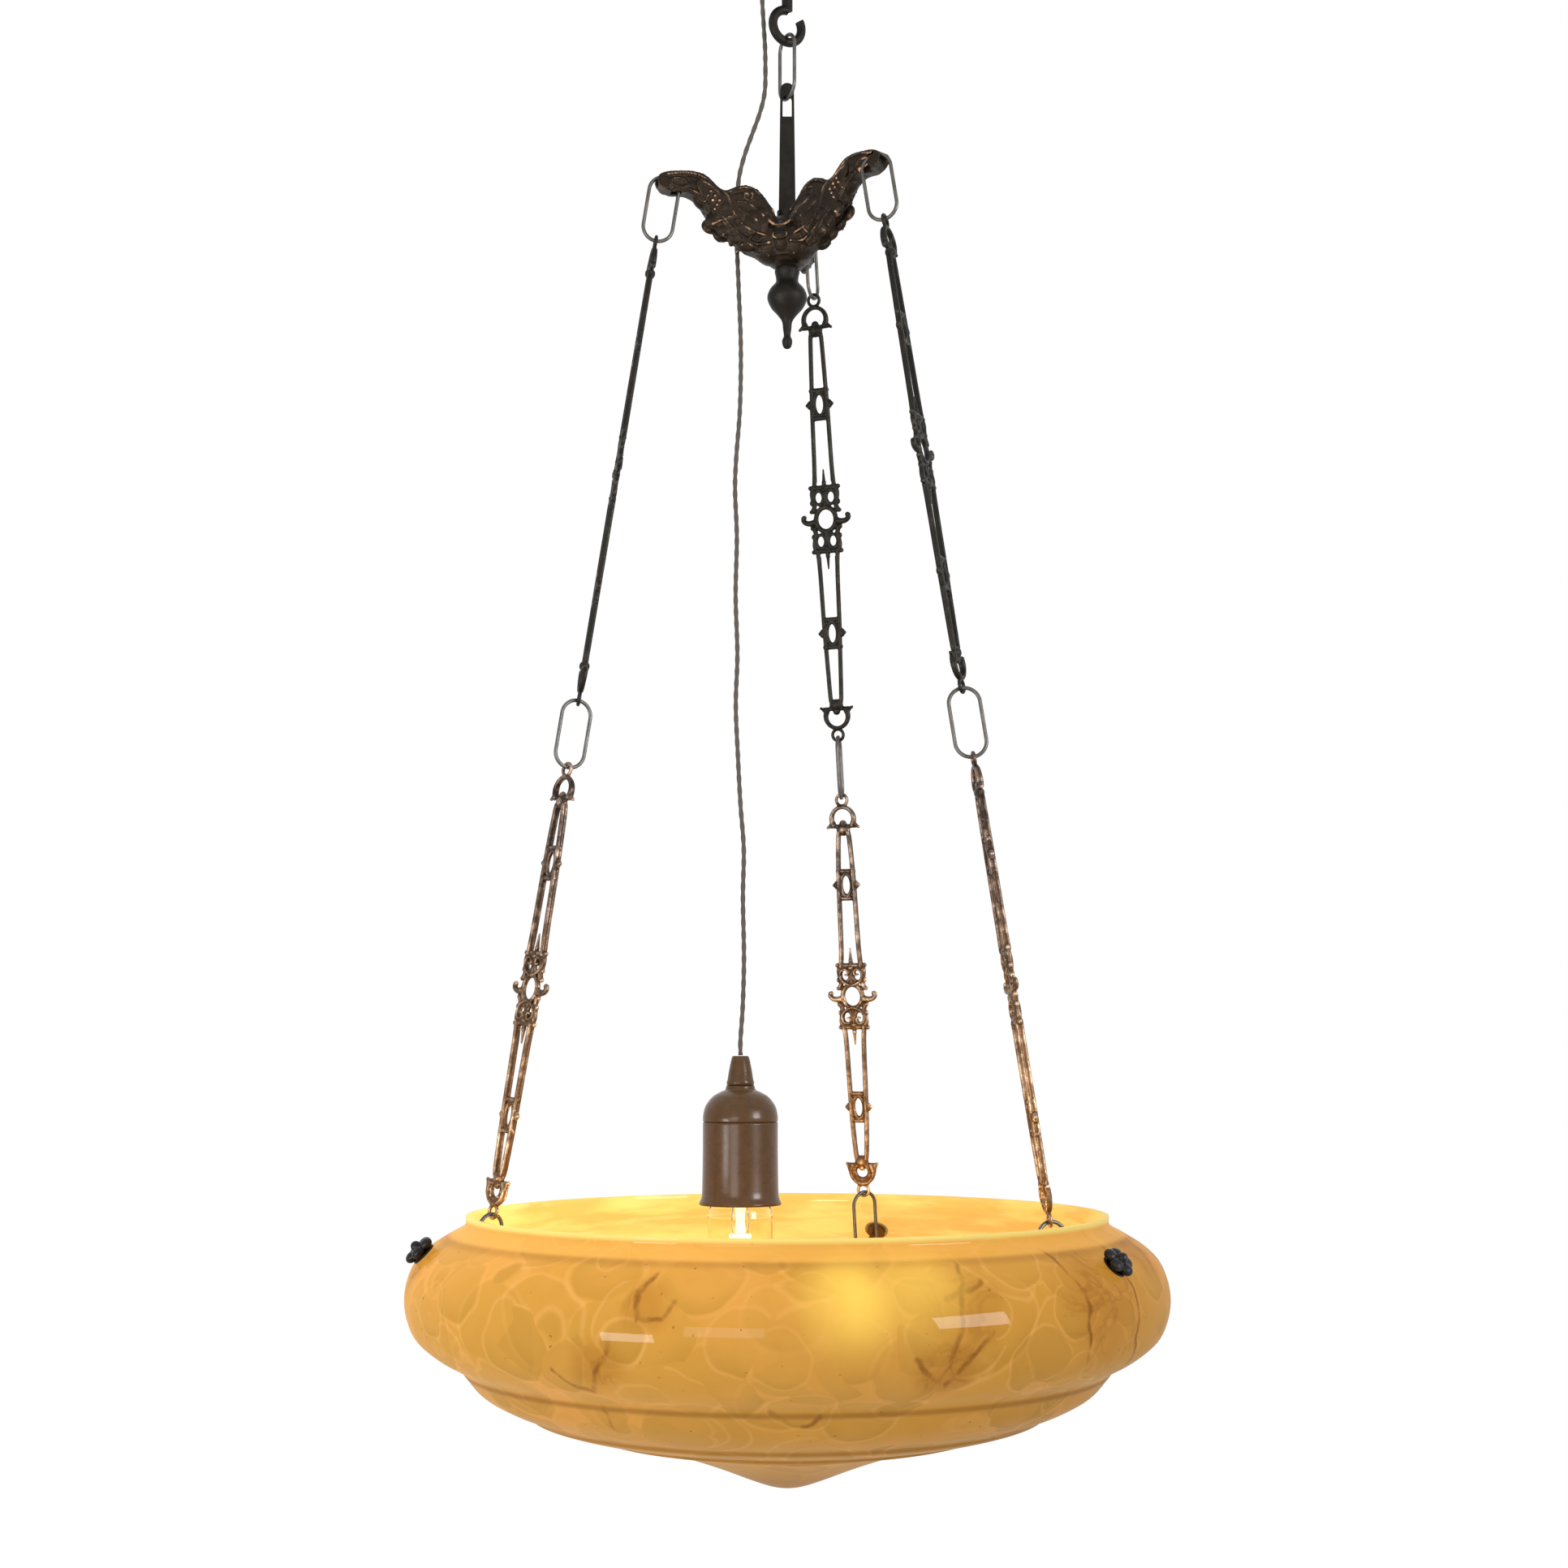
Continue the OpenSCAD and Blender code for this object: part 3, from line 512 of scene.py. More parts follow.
# Vein: how near a point is to the line between two others
vein, n, given, result = node_group(
    "glass_vein", {"Vector": POINT, "From": POINT, "To": POINT, "Width": VALUE}, {"Mask": VALUE})
along = n.vector("SUBTRACT", given["To"], given["From"])[0]
toward = n.vector("SUBTRACT", given["Vector"], given["From"])[0]
reached, whole = (n.vector("DOT_PRODUCT", v, along)["Value"] for v in (toward, along))
share = n.math("MINIMUM", n.larger(n.math("DIVIDE", reached, whole), 0.0), 1.0)
foot = n.add("ShaderNodeVectorMath", operation="SCALE", Vector=along, Scale=share).outputs[0]
away = n.vector("LENGTH", n.vector("SUBTRACT", toward, foot)[0])["Value"]
n.put(result["Mask"], n.step(n.math("DIVIDE", away, given["Width"]), 1.0, 0.15))

print("groups", patches.name, vein.name)

# %% [markdown]
# ## Marbled glass: where the veins are
# The large veins and stains are what one knows this bowl by, so they stand where the real glass has them.
# They could be painted on an image. As a few points each, measured from the middle of the rim, they stay
# sharp from near by and can be moved one at a time.

# %% Veins and stains
# Brown veins, as points on the glass
VEINS = [
    [(121, -128, -9), (130, -138, -18), (139, -137, -26), (141, -141, -40), (140, -135, -60)],
    [(139, -84, 0), (153, -87, -9), (159, -105, -20), (167, -106, -29), (168, -106, -51), (165, -91, -66)],
    [(166, -31, -4), (177, -53, -15), (182, -69, -24)],
    [(76, -162, -11), (76, -176, -21), (77, -184, -41), (67, -179, -63)],
    [(87, -170, -19), (78, -177, -22), (70, -182, -24)],
    [(93, -177, -40), (83, -180, -51), (71, -178, -64)],
    [(58, -190, -52), (62, -185, -59), (68, -179, -63)],
    [(-68, -186, -32), (-67, -181, -22), (-59, -176, -15)],
    [(-68, -186, -32), (-57, -190, -34), (-51, -190, -27)],
    [(-80, -183, -42), (-83, -180, -52), (-89, -164, -68)],
    [(-89, -164, -68), (-98, -163, -65), (-107, -163, -59)],
    [(-84, -149, -78), (-82, -143, -85), (-78, -133, -93)],
    [(-7, -170, -79), (4, -165, -85), (14, -169, -80)],
    [(-189, -54, -28), (-183, -48, -18), (-173, -39, -9)],
]
# Brown stains round the veins: place, radius and soft edge
STAINS = [((-87, -176, -57), 7, 13), ((78, -180, -30), 8, 20), ((70, -181, -56), 9, 12),
          ((-64, -184, -28), 5, 12), ((150, -125, -30), 10, 34), ((172, -60, -16), 6, 22),
          ((-187, -56, -20), 5, 16), ((-120, 150, -30), 12, 30), ((60, 186, -44), 14, 30),
          ((160, 100, -40), 10, 26)]
BELLY_R = 200
print("veins", len(VEINS), "stains", len(STAINS))

# %% [markdown]
# ## Marbled glass: colour
# Three layers of patches lie over a cloudy ground, and stains and veins over them. One large noise could
# stand for all of it, but layers with a mask each can be judged and changed one by one. The veins are
# looked up on a drum round the glass, so that its slopes don't widen them.


# %% Places on the glass
def up_to_rim(point):
    """A point measured from the middle of the rim, in the scene's metres."""
    return (point[0] * MM, point[1] * MM, (point[2] + RIM) * MM)


def on_drum(point):
    """The point moved straight out to a drum as wide as the bowl."""
    out = BELLY_R / math.hypot(point[0], point[1])
    return up_to_rim((point[0] * out, point[1] * out, point[2]))


def spot(n, where, centre, radius, soft):
    """1 within radius of a point, falling to 0 over soft, in millimetres."""
    return n.step(n.vector("DISTANCE", where, up_to_rim(centre))["Value"], (radius + soft) * MM, radius * MM)


print("a point of the rim, in metres", up_to_rim((169, 0, 0)))

# %% Colour of the glass
n, where = material("marbled_glass")
bent = n.wobble(where, where, 26, 2, 0.5, (0.02, 0.02, 0.016))
frayed = n.wobble(where, where, 110, 3, 0.6, (0.0024, 0.0024, 0.0024))
cloud = n.noise(where, 11, 3, 0.5)
streak = n.noise(where, 75, 4, 0.6)

PEACH, HONEY, PALE = (0.84, 0.40, 0.082), (0.72, 0.36, 0.055), (0.92, 0.50, 0.15)
OLIVE, SAND, DEEP = (0.64, 0.335, 0.055), (0.78, 0.385, 0.072), (0.47, 0.25, 0.034)
AMBER, RUST, UMBER = (0.60, 0.27, 0.04), (0.50, 0.205, 0.025), (0.24, 0.078, 0.011)
PATCH_LAYERS = ((20, 0.64, (0.01, 0, 0)), (24, 0.60, (0.31, 0.17, 0.05)), (29, 0.50, (0.57, 0.43, 0.21)))
colour = n.mix(n.step(cloud, 0.38, 0.64), PEACH, HONEY)
line_depth = n.plus(0.05, n.times(n.step(cloud, 0.3, 0.7), 0.3))
for scale, size, shift in PATCH_LAYERS:
    moved = n.vector("ADD", bent, shift)[0]
    group = n.add("ShaderNodeGroup", node_tree=patches, Vector=moved, Scale=scale, Size=size).outputs
    tone = n.mix(group["Tone"], OLIVE, SAND)
    tone = n.mix(n.times(n.step(group["Tone"], 0.78, 0.95), 0.7), tone, DEEP)
    tone = n.mix(n.times(group["Low"], 0.75), tone, DEEP)
    colour = n.mix(n.times(group["Mask"], 0.5), colour, tone)
    colour = n.mix(n.times(group["Line"], line_depth), colour, PALE)
colour = n.mix(n.times(n.step(streak, 0.45, 0.75), 0.18), colour, AMBER)
speck = n.noise(where, 330, 1)
colour = n.mix(n.times(n.step(speck, 0.76, 0.80), 0.7), colour, (0.30, 0.11, 0.02))

stain = reduce(n.larger, [spot(n, bent, *values) for values in STAINS])
thread = n.close_to(n.noise(frayed, 34, 3, 0.5, 0.8), 0.5, 0.0, 0.04)
colour = n.mix(n.times(stain, 0.5), colour, RUST)
colour = n.mix(n.times(n.times(stain, thread), 0.3), colour, (0.30, 0.095, 0.012))

# The veins are measured on a drum round the glass, so that its slopes don't widen them
swayed = n.wobble(frayed, where, 42, 2, 0.5, (0.012, 0.012, 0.010))
level_way = n.vector("NORMALIZE", n.vector("MULTIPLY", swayed, (1.0, 1.0, 0.0))[0])[0]
upright = n.vector("MULTIPLY", swayed, (0.0, 0.0, 1.0))[0]
drum = n.vector("MULTIPLY_ADD", level_way, (BELLY_R * MM,) * 3, upright)[0]
VEIN_WIDTH = 0.0021
lines = []
for path in (curve_through(points, 2) for points in VEINS):
    for a, b in zip(path, path[1:]):
        line = n.add("ShaderNodeGroup", node_tree=vein, Vector=drum, From=on_drum(a), To=on_drum(b),
                     Width=VEIN_WIDTH)
        lines.append(line.outputs["Mask"])
depth = n.plus(0.12, n.times(n.step(streak, 0.36, 0.62), 0.55))
colour = n.mix(n.times(reduce(n.larger, lines), depth), colour, UMBER)

print("vein pieces", len(lines))

# %% [markdown]
# ## Marbled glass: creases, rim and inside
# The steps have painted shade in their creases, the neck and the rim let more light through, the inside is
# painted paler as the lamp lights it, and a painted glow shows where the lamp shines through in front. They
# could be materials of their own, with a hard line where they meet. The bands are level, so a point's height
# is enough to find them, and the inner wall is marked on the bowl's points.

# %% Creases, rim and inside
# Painted shade in the creases at the steps and under the neck, a brown tip, a bright neck and rim where more
# light comes through, and a painted glow where the lamp shines through in front
CREASE_SHADES = ((-79.5, 0.6), (-102.6, 0.5), (-111.6, 0.45), (-10.8, 0.3))
x, _, z = n.xyz(where)
for level, depth in CREASE_SHADES:
    crease_shade = n.close_to(z, (RIM + level) * MM, 0.0002, 0.0026)
    colour = n.mix(n.times(crease_shade, depth), colour, (0.34, 0.14, 0.02))
tip = n.step(z, (RIM - 124) * MM, (RIM - 140) * MM)
colour = n.mix(n.times(tip, 0.6), colour, (0.46, 0.25, 0.12))
neck = n.step(z, (RIM - 10.6) * MM, (RIM - 8.6) * MM)
colour = n.mix(n.times(neck, 0.6), colour, (1.0, 0.52, 0.105))
rim_light = n.step(z, (RIM - 3.2) * MM, (RIM - 0.6) * MM)
colour = n.mix(n.times(rim_light, 0.8), colour, (1.0, 0.86, 0.25))
# Painted glow: the lamp's light through the glass in front, a bright spot and a fainter one beside it
beside = n.times(spot(n, bent, (60, -184, -18), 1, 38), 0.6)
glow = n.larger(spot(n, bent, (29, -191, -21), 1, 36), beside)
colour = n.mix(n.times(glow, 0.9), colour, (1.0, 0.66, 0.115))

# Inside, the wall is painted paler, as the lamp lights it, with soft level bands
inside = n.add("ShaderNodeAttribute", attribute_name="inside").outputs["Fac"]
flat = n.vector("MULTIPLY", where, (1.0, 1.0, 5.0))[0]
inner = n.mix(n.step(n.noise(flat, 14, 3, 0.5), 0.38, 0.62), (1.0, 0.74, 0.20), (0.96, 0.54, 0.13))
inner = n.mix(n.times(n.step(n.noise(flat, 40, 3), 0.5, 0.7), 0.4), inner, (1.0, 0.80, 0.28))
colour = n.mix(n.times(inside, 0.9), colour, inner)

print("bands", len(CREASE_SHADES) + 3)

# %% [markdown]
# ## Marbled glass: light in it
# The lit lamp makes the glass glow. Glass that truly scatters light takes long to render, and its look
# doesn't travel to other programs, so the colour shines by itself, more so toward the lamp. A clear coat
# gives the gloss over it.

# %% Glow and gloss
# Brighter toward the lamp, which hangs left of the middle, darker down the steps, and brighter still in the
# painted glow spots and inside
shade = n.plus(0.57, n.times(n.step(z, (RIM - 125) * MM, (RIM - 10) * MM), 0.40))
shade = n.minus(shade, n.times(x, 1.25))
strength = n.plus(n.times(shade, 0.80), n.times(n.larger(glow, inside), 0.14))
n.give(Base_Color=n.mix(1.0, colour, (0.28, 0.24, 0.18), "MULTIPLY"), Emission_Color=colour,
       Emission_Strength=strength, Roughness=n.plus(0.2, n.times(streak, 0.1)), Specular_IOR_Level=0.0,
       Coat_Weight=0.16, Coat_Roughness=0.03, Normal=n.bump(n.noise(where, 20, 2), 0.06, 0.003))
print("glass nodes", len(n.tree.nodes))

# %% [markdown]
# ## Bowl
# The bowl is one piece of glass. Its outline runs from the rim over the shoulder and the belly, down three
# steps to the tip. A Solidify modifier could give it a wall. The wall is made from the outline's own
# slope instead, because that keeps the rim flat, and lets the neck be thinner inside where the links pass.

# %% Bowl
BOWL = [(169, 0), (169.5, -5), (178, -10), (187.5, -16), (194.5, -23), (198.5, -32), (200, -42),
        (198.5, -52), (194, -61.5), (184, -70), (172.5, -76.5), (168.5, -81), (161, -89.5),
        (150, -96), (138, -101), (133.5, -104), (122, -107.5), (108, -110.5), (104, -112.5),
        (88, -115.5), (70, -119.5), (52, -125.5), (36, -131.5), (20, -138), (9, -141.8), (0, -143.2)]
WALL, BOWL_SIDES, NECK_ROOM = 4.5, 256, 1.0
outer = curve_through(BOWL, 6)
outer[:, 0] = np.clip(outer[:, 0], 0, BELLY_R)
slope = np.gradient(outer, axis=0)
slope /= np.linalg.norm(slope, axis=1)[:, None]
inner_side = outer + WALL * np.stack([slope[:, 1], -slope[:, 0]], 1)
inner_side = inner_side[inner_side[:, 0] > 1.0]
inner_side[0, 1] = 0
# The upper 8 mm are thinner by NECK_ROOM, and the next 8 mm less and less, to clear the links in a twist
inner_side[:, 0] += NECK_ROOM * np.clip((inner_side[:, 1] + 16) / 8, 0, 1)
bottom = (0.0, float(inner_side[-1, 1]))
profile = [tuple(p) for p in outer] + [bottom] + [tuple(p) for p in inner_side[::-1]]
bowl = lathe("bowl_glass", profile, BOWL_SIDES, (0, 0, RIM))
flags = np.ones(len(bowl.data.vertices), np.float32)
flags[: 1 + BOWL_SIDES * (len(outer) - 1)] = 0
bowl.data.attributes.new("inside", "FLOAT", "POINT").data.foreach_set("value", flags)
settle(bowl, "bowl", "marbled_glass", "glass_bowl")
print("bowl", len(bowl.data.vertices))

# %% [markdown]
# ## CAD pieces that stay
# Links, hooks, washers, screws, the rose and the inside of the holder are plain shapes. They could be made
# again here, but the construction has them right. So they keep their shapes and get the materials of
# their slots, or another one where the real piece differs from its neighbours in the slot.

# %% Materials for the CAD pieces
LOOK_OF_SLOT = {"steel": "zinc_steel", "brass": "plain_brass"}
for name, obj in frame["nodes"].items():
    look = LOOK_OF_SLOT.get(slot_of[name], slot_of[name])
    if name.startswith("rosette"):
        look = "knob_black"
    if name.startswith("upper_bar") or name == "outer_washers":
        look = "bar_bronze"
    if "link" in name:
        look = "dull_wire"
    dress(obj, look)
print("slots", sorted(set(slot_of.values())))

# %% [markdown]
# ## Cast pieces
# Bars, crown and knobs are castings, with soft corners and no seams. Sculpting gives that, but it can't be
# written down, and a union of solids keeps its corners hard. So they are laid out with simple rods, rings
# and balls, and then melted into one skin by a voxel remesh. Each point keeps how much it stands out from
# what is round it, and the metals read that as wear. Where like forms stand in a ring, as beads and petals
# do, a tree of Geometry Nodes puts one ball on each point of a circle, so that one set of sizes says it all.


# %% Tree for rings of balls
INPUTS = {"Count": "NodeSocketInt", "Radius": VALUE, "Height": VALUE, "Size": POINT, "Rows": "NodeSocketInt",
          "Sides": "NodeSocketInt", "Material": "NodeSocketMaterial"}
ring_of_balls = bpy.data.node_groups.new("ring_of_balls", "GeometryNodeTree")
ring_sockets = [ring_of_balls.interface.new_socket(label, in_out="INPUT", socket_type=kind).identifier
                for label, kind in INPUTS.items()]
ring_of_balls.interface.new_socket("Balls", in_out="OUTPUT", socket_type="NodeSocketGeometry")
n = Nodes(ring_of_balls)
given = n.add("NodeGroupInput").outputs
circle = n.add("GeometryNodeMeshCircle", Vertices=given["Count"], Radius=given["Radius"]).outputs[0]
ball = n.add("GeometryNodeMeshUVSphere", Segments=given["Sides"], Rings=given["Rows"], Radius=1.0).outputs[0]
balls = n.add("GeometryNodeInstanceOnPoints", Points=circle, Instance=ball, Scale=given["Size"]).outputs[0]
lift = n.add("ShaderNodeCombineXYZ", Z=given["Height"]).outputs[0]
balls = n.add("GeometryNodeTransform", Geometry=balls, Translation=lift).outputs[0]
balls = n.add("GeometryNodeRealizeInstances", Geometry=balls).outputs[0]
balls = n.add("GeometryNodeSetMaterial", Geometry=balls, Material=given["Material"]).outputs[0]
n.put(n.add("NodeGroupOutput").inputs[0], balls)
print("ring inputs", *INPUTS)


# %% Casting helpers
class Cast:
    """Forms that are laid together, in millimetres, before they are melted into one skin."""

    def __init__(self):
        self.verts, self.faces, self.rubbed = [], [], []

    def add(self, verts, faces):
        start = len(self.verts)
        self.verts += [tuple(v) for v in verts]
        self.faces += [tuple(start + i for i in f) for f in faces]

    def ball(self, at, size, rows=9, sides=14, rub=False):
        size = np.array(size if hasattr(size, "__len__") else (size,) * 3, float)
        if rub:
            self.rubbed.append((tuple(at), float(size.min())))
        tilts = [math.pi * i / rows for i in range(1, rows)]
        ways = [around(math.sin(t), a, math.cos(t)) for t in tilts for a in full_turn(sides)]
        verts = [np.array(at) + size * way for way in ((0, 0, 1), *ways, (0, 0, -1))]
        faces, last = [], len(verts) - 1
        for s in range(sides):
            t = (s + 1) % sides
            faces.append((0, 1 + s, 1 + t))
            faces.append((last, last - sides + t, last - sides + s))
            for i in range(rows - 2):
                a = 1 + i * sides
                faces.append((a + s, a + sides + s, a + sides + t, a + t))
        self.add(verts, faces)

    def ring(self, *values, look):
        """Like balls round the Z axis, with the values of the tree's inputs in their order."""
        obj = in_scene("ring", bpy.data.meshes.new("ring"))
        nodes = obj.modifiers.new("ring", "NODES")
        nodes.node_group = ring_of_balls
        for identifier, value in zip(ring_sockets, (*values, MATS[look])):
            nodes[identifier] = value
        graph = bpy.context.evaluated_depsgraph_get()
        graph.update()
        mesh = bpy.data.meshes.new_from_object(obj.evaluated_get(graph))
        obj.modifiers.remove(nodes)
        self.add([v.co for v in mesh.vertices], [p.vertices for p in mesh.polygons])
        bpy.data.objects.remove(obj)
        bpy.data.meshes.remove(mesh)

    def wire(self, points, radius, closed=False, sides=10, smooth=4, rub=False):
        p = curve_through(points, smooth) if smooth > 1 and not closed else np.array(points, float)
        n = len(p)
        radius = np.interp(np.linspace(0, 1, n), np.linspace(0, 1, np.size(radius)), np.atleast_1d(radius))
        if rub:
            self.rubbed += [(tuple(q), float(r)) for q, r in zip(p, radius)]
        start = p[1] - (p[-1] if closed else p[0])
        up = (1.0, 0.0, 0.0) if abs(start[0]) < 0.8 * np.linalg.norm(start) else (0.0, 0.0, 1.0)
        verts, faces = sweep(p, lambda i, a: radius[i], sides, np.array(up), closed)
        if not closed:
            self.ball(p[0], radius[0], 6, 10)
            self.ball(p[-1], radius[-1], 6, 10)
        self.add(verts, faces)

    def melt(self, name, voxel, passes, relief=0.55):
        """One closed skin over everything that was added, in millimetres, with its wear."""
        mesh = bpy.data.meshes.new(name + "_raw")
        mesh.from_pydata(self.verts, [], self.faces)
        obj = in_scene(name + "_raw", mesh)
        remesh = obj.modifiers.new("remesh", "REMESH")
        remesh.mode = "VOXEL"
        remesh.voxel_size = voxel
        soften = obj.modifiers.new("soften", "SMOOTH")
        soften.factor = 0.5
        soften.iterations = passes
        graph = bpy.context.evaluated_depsgraph_get()
        graph.update()
        out = bpy.data.meshes.new_from_object(obj.evaluated_get(graph))
        out.name = name
        bpy.data.objects.remove(obj)
        bpy.data.meshes.remove(mesh)
        count = len(out.vertices)

        def read(items, key, width, kind):
            flat = np.empty(len(items) * width, kind)
            items.foreach_get(key, flat)
            return flat.reshape(-1, width)

        co = read(out.vertices, "co", 3, np.float32)
        normal = read(out.vertices, "normal", 3, np.float32)
        a, b = read(out.edges, "vertices", 2, np.int32).T
        degree = np.bincount(np.concatenate([a, b]), minlength=count)[:, None]

        def spread(values):
            """Each point's mean over its neighbours."""
            total = [np.bincount(a, v[b], count) + np.bincount(b, v[a], count) for v in values.T]
            return np.stack(total, 1) / degree

        far = co
        for _ in range(6):
            far = spread(far)
        stand = -((far - co) * normal).sum(1)[:, None] / voxel
        for _ in range(3):
            stand = spread(stand)
        wear = np.clip(0.5 + relief * stand[:, 0], 0, 1)
        if self.rubbed:
            tree = KDTree(len(self.rubbed))
            for i, (point, _) in enumerate(self.rubbed):
                tree.insert(point, i)
            tree.balance()
            # a rubbed line is full on its ridge and gone 0.9 mm beside it
            for i, point in enumerate(co):
                _, near, gap = tree.find(point)
                line = min(1.0, max(0.0, 1.4 - (gap - self.rubbed[near][1]) * 1.6))
                wear[i] += 0.62 * line * min(1.0, max(0.0, 1.6 * stand[i, 0] - 0.1))
        wear = np.clip(wear, 0, 1)
        out.attributes.new("wear", "FLOAT", "POINT").data.foreach_set("value", wear.astype(np.float32))
        out.polygons.foreach_set("use_smooth", [True] * len(out.polygons))
        return out


def place(name, mesh, matrix, *values, **more):
    """A copy of a melted mesh, put where it belongs, scaled to metres and settled with the other values."""
    mesh = mesh.copy()
    mesh.name = name
    mesh.transform(Matrix.Scale(MM, 4) @ matrix)
    settle(in_scene(name, mesh), *values, **more)


def arc(centre, radius, start, stop, count, plane="yz", grow=1.0):
    """Points on an arc, or on a spiral when grow isn't 1, in the plane of two of the axes."""
    out = []
    for i in range(count + 1):
        a = math.radians(start + (stop - start) * i / count)
        r = radius * grow ** (i / count)
        u, v = r * math.cos(a), r * math.sin(a)
        shift = (0, u, v) if plane == "yz" else (u, 0, v)
        out.append(tuple(c + d for c, d in zip(centre, shift)))
    return out


def oval(centre, wide, high, step):
    """Points on an upright oval across the X axis."""
    x, y, z = centre
    return [(x, y + wide * math.cos(a), z + high * math.sin(a)) for a in np.arange(0, 6.28, step)]


print("casting helpers ready")

# %% [markdown]
# ## Where the chains hang
# Each chain leans in from its foot at the rim to its head under the crown, and crown and bowl are a few
# degrees out of step. The castings could be moved by hand until they fit. The construction works the lean
# out from the lengths of the bars, so the same sums are made here, and they fit by themselves.

# %% Chains and bolts
# A chain's frame follows the construction: a foot at the rim, a head under the crown
FOOT_R, HEAD_R, FOOT_UP = 155.5, 74, 3
FOOT_SIDES, HEAD_SIDES = (-34, 73, 193), (-46, 78, 196)
UPPER_LEN, LOWER_LEN, LINK_PITCH, EYE_PLAY = 252, 233, 36, 1.2
CHAIN_LEN = UPPER_LEN + LOWER_LEN + LINK_PITCH + 2 * EYE_PLAY
LOWER_TURNS = (28, 0, 32)
CROWN_Z = RIM + 513
BOLT_R, BOLT_DOWN = 190, 18.5


def turned(axis, degrees):
    return Matrix.Rotation(math.radians(degrees), 4, axis)


def on_chain(k, up, turn=0):
    """The place on a chain, up its line from the foot: Z runs up it, and X out from the light."""
    foot = Vector(around(FOOT_R, math.radians(FOOT_SIDES[k]), RIM + FOOT_UP))
    flat = Vector(around(HEAD_R, math.radians(HEAD_SIDES[k]), RIM + FOOT_UP)) - foot
    rise = math.sqrt(CHAIN_LEN**2 - flat.length**2)
    lean = math.degrees(math.acos(rise / CHAIN_LEN))
    heading = math.degrees(math.atan2(flat.y, flat.x))
    return (Matrix.Translation(foot) @ turned("Z", heading) @ turned("Y", lean)
            @ Matrix.Translation((0, 0, up)) @ turned("Z", 180 + turn))


def at_bolt(k):
    """Where a bolt leaves the glass: Z runs out along it."""
    return turned("Z", FOOT_SIDES[k]) @ Matrix.Translation((BOLT_R, 0, RIM - BOLT_DOWN)) @ turned("Y", 45)


print("chain length", CHAIN_LEN)

# %% [markdown]
# ## Bars
# A chain is two long openwork castings. Both ends have an eye, a stirrup with pointed corners and a boss,
# and two rails join them to a plate with five rings and a pair of horns. A quarter could be modelled and
# mirrored twice, but a bar isn't the same in all of them. So each rod is written once, for a quarter, and
# laid where it belongs. Thickness runs along X, width along Y and length along Z.


# %% Bars
HEART = [(0.3, 6.6), (2.6, 7.4), (5.4, 9), (7, 12), (6.2, 15.2), (3.6, 16.2), (1.9, 14.6), (2.4, 12.8),
         (3.8, 13)]


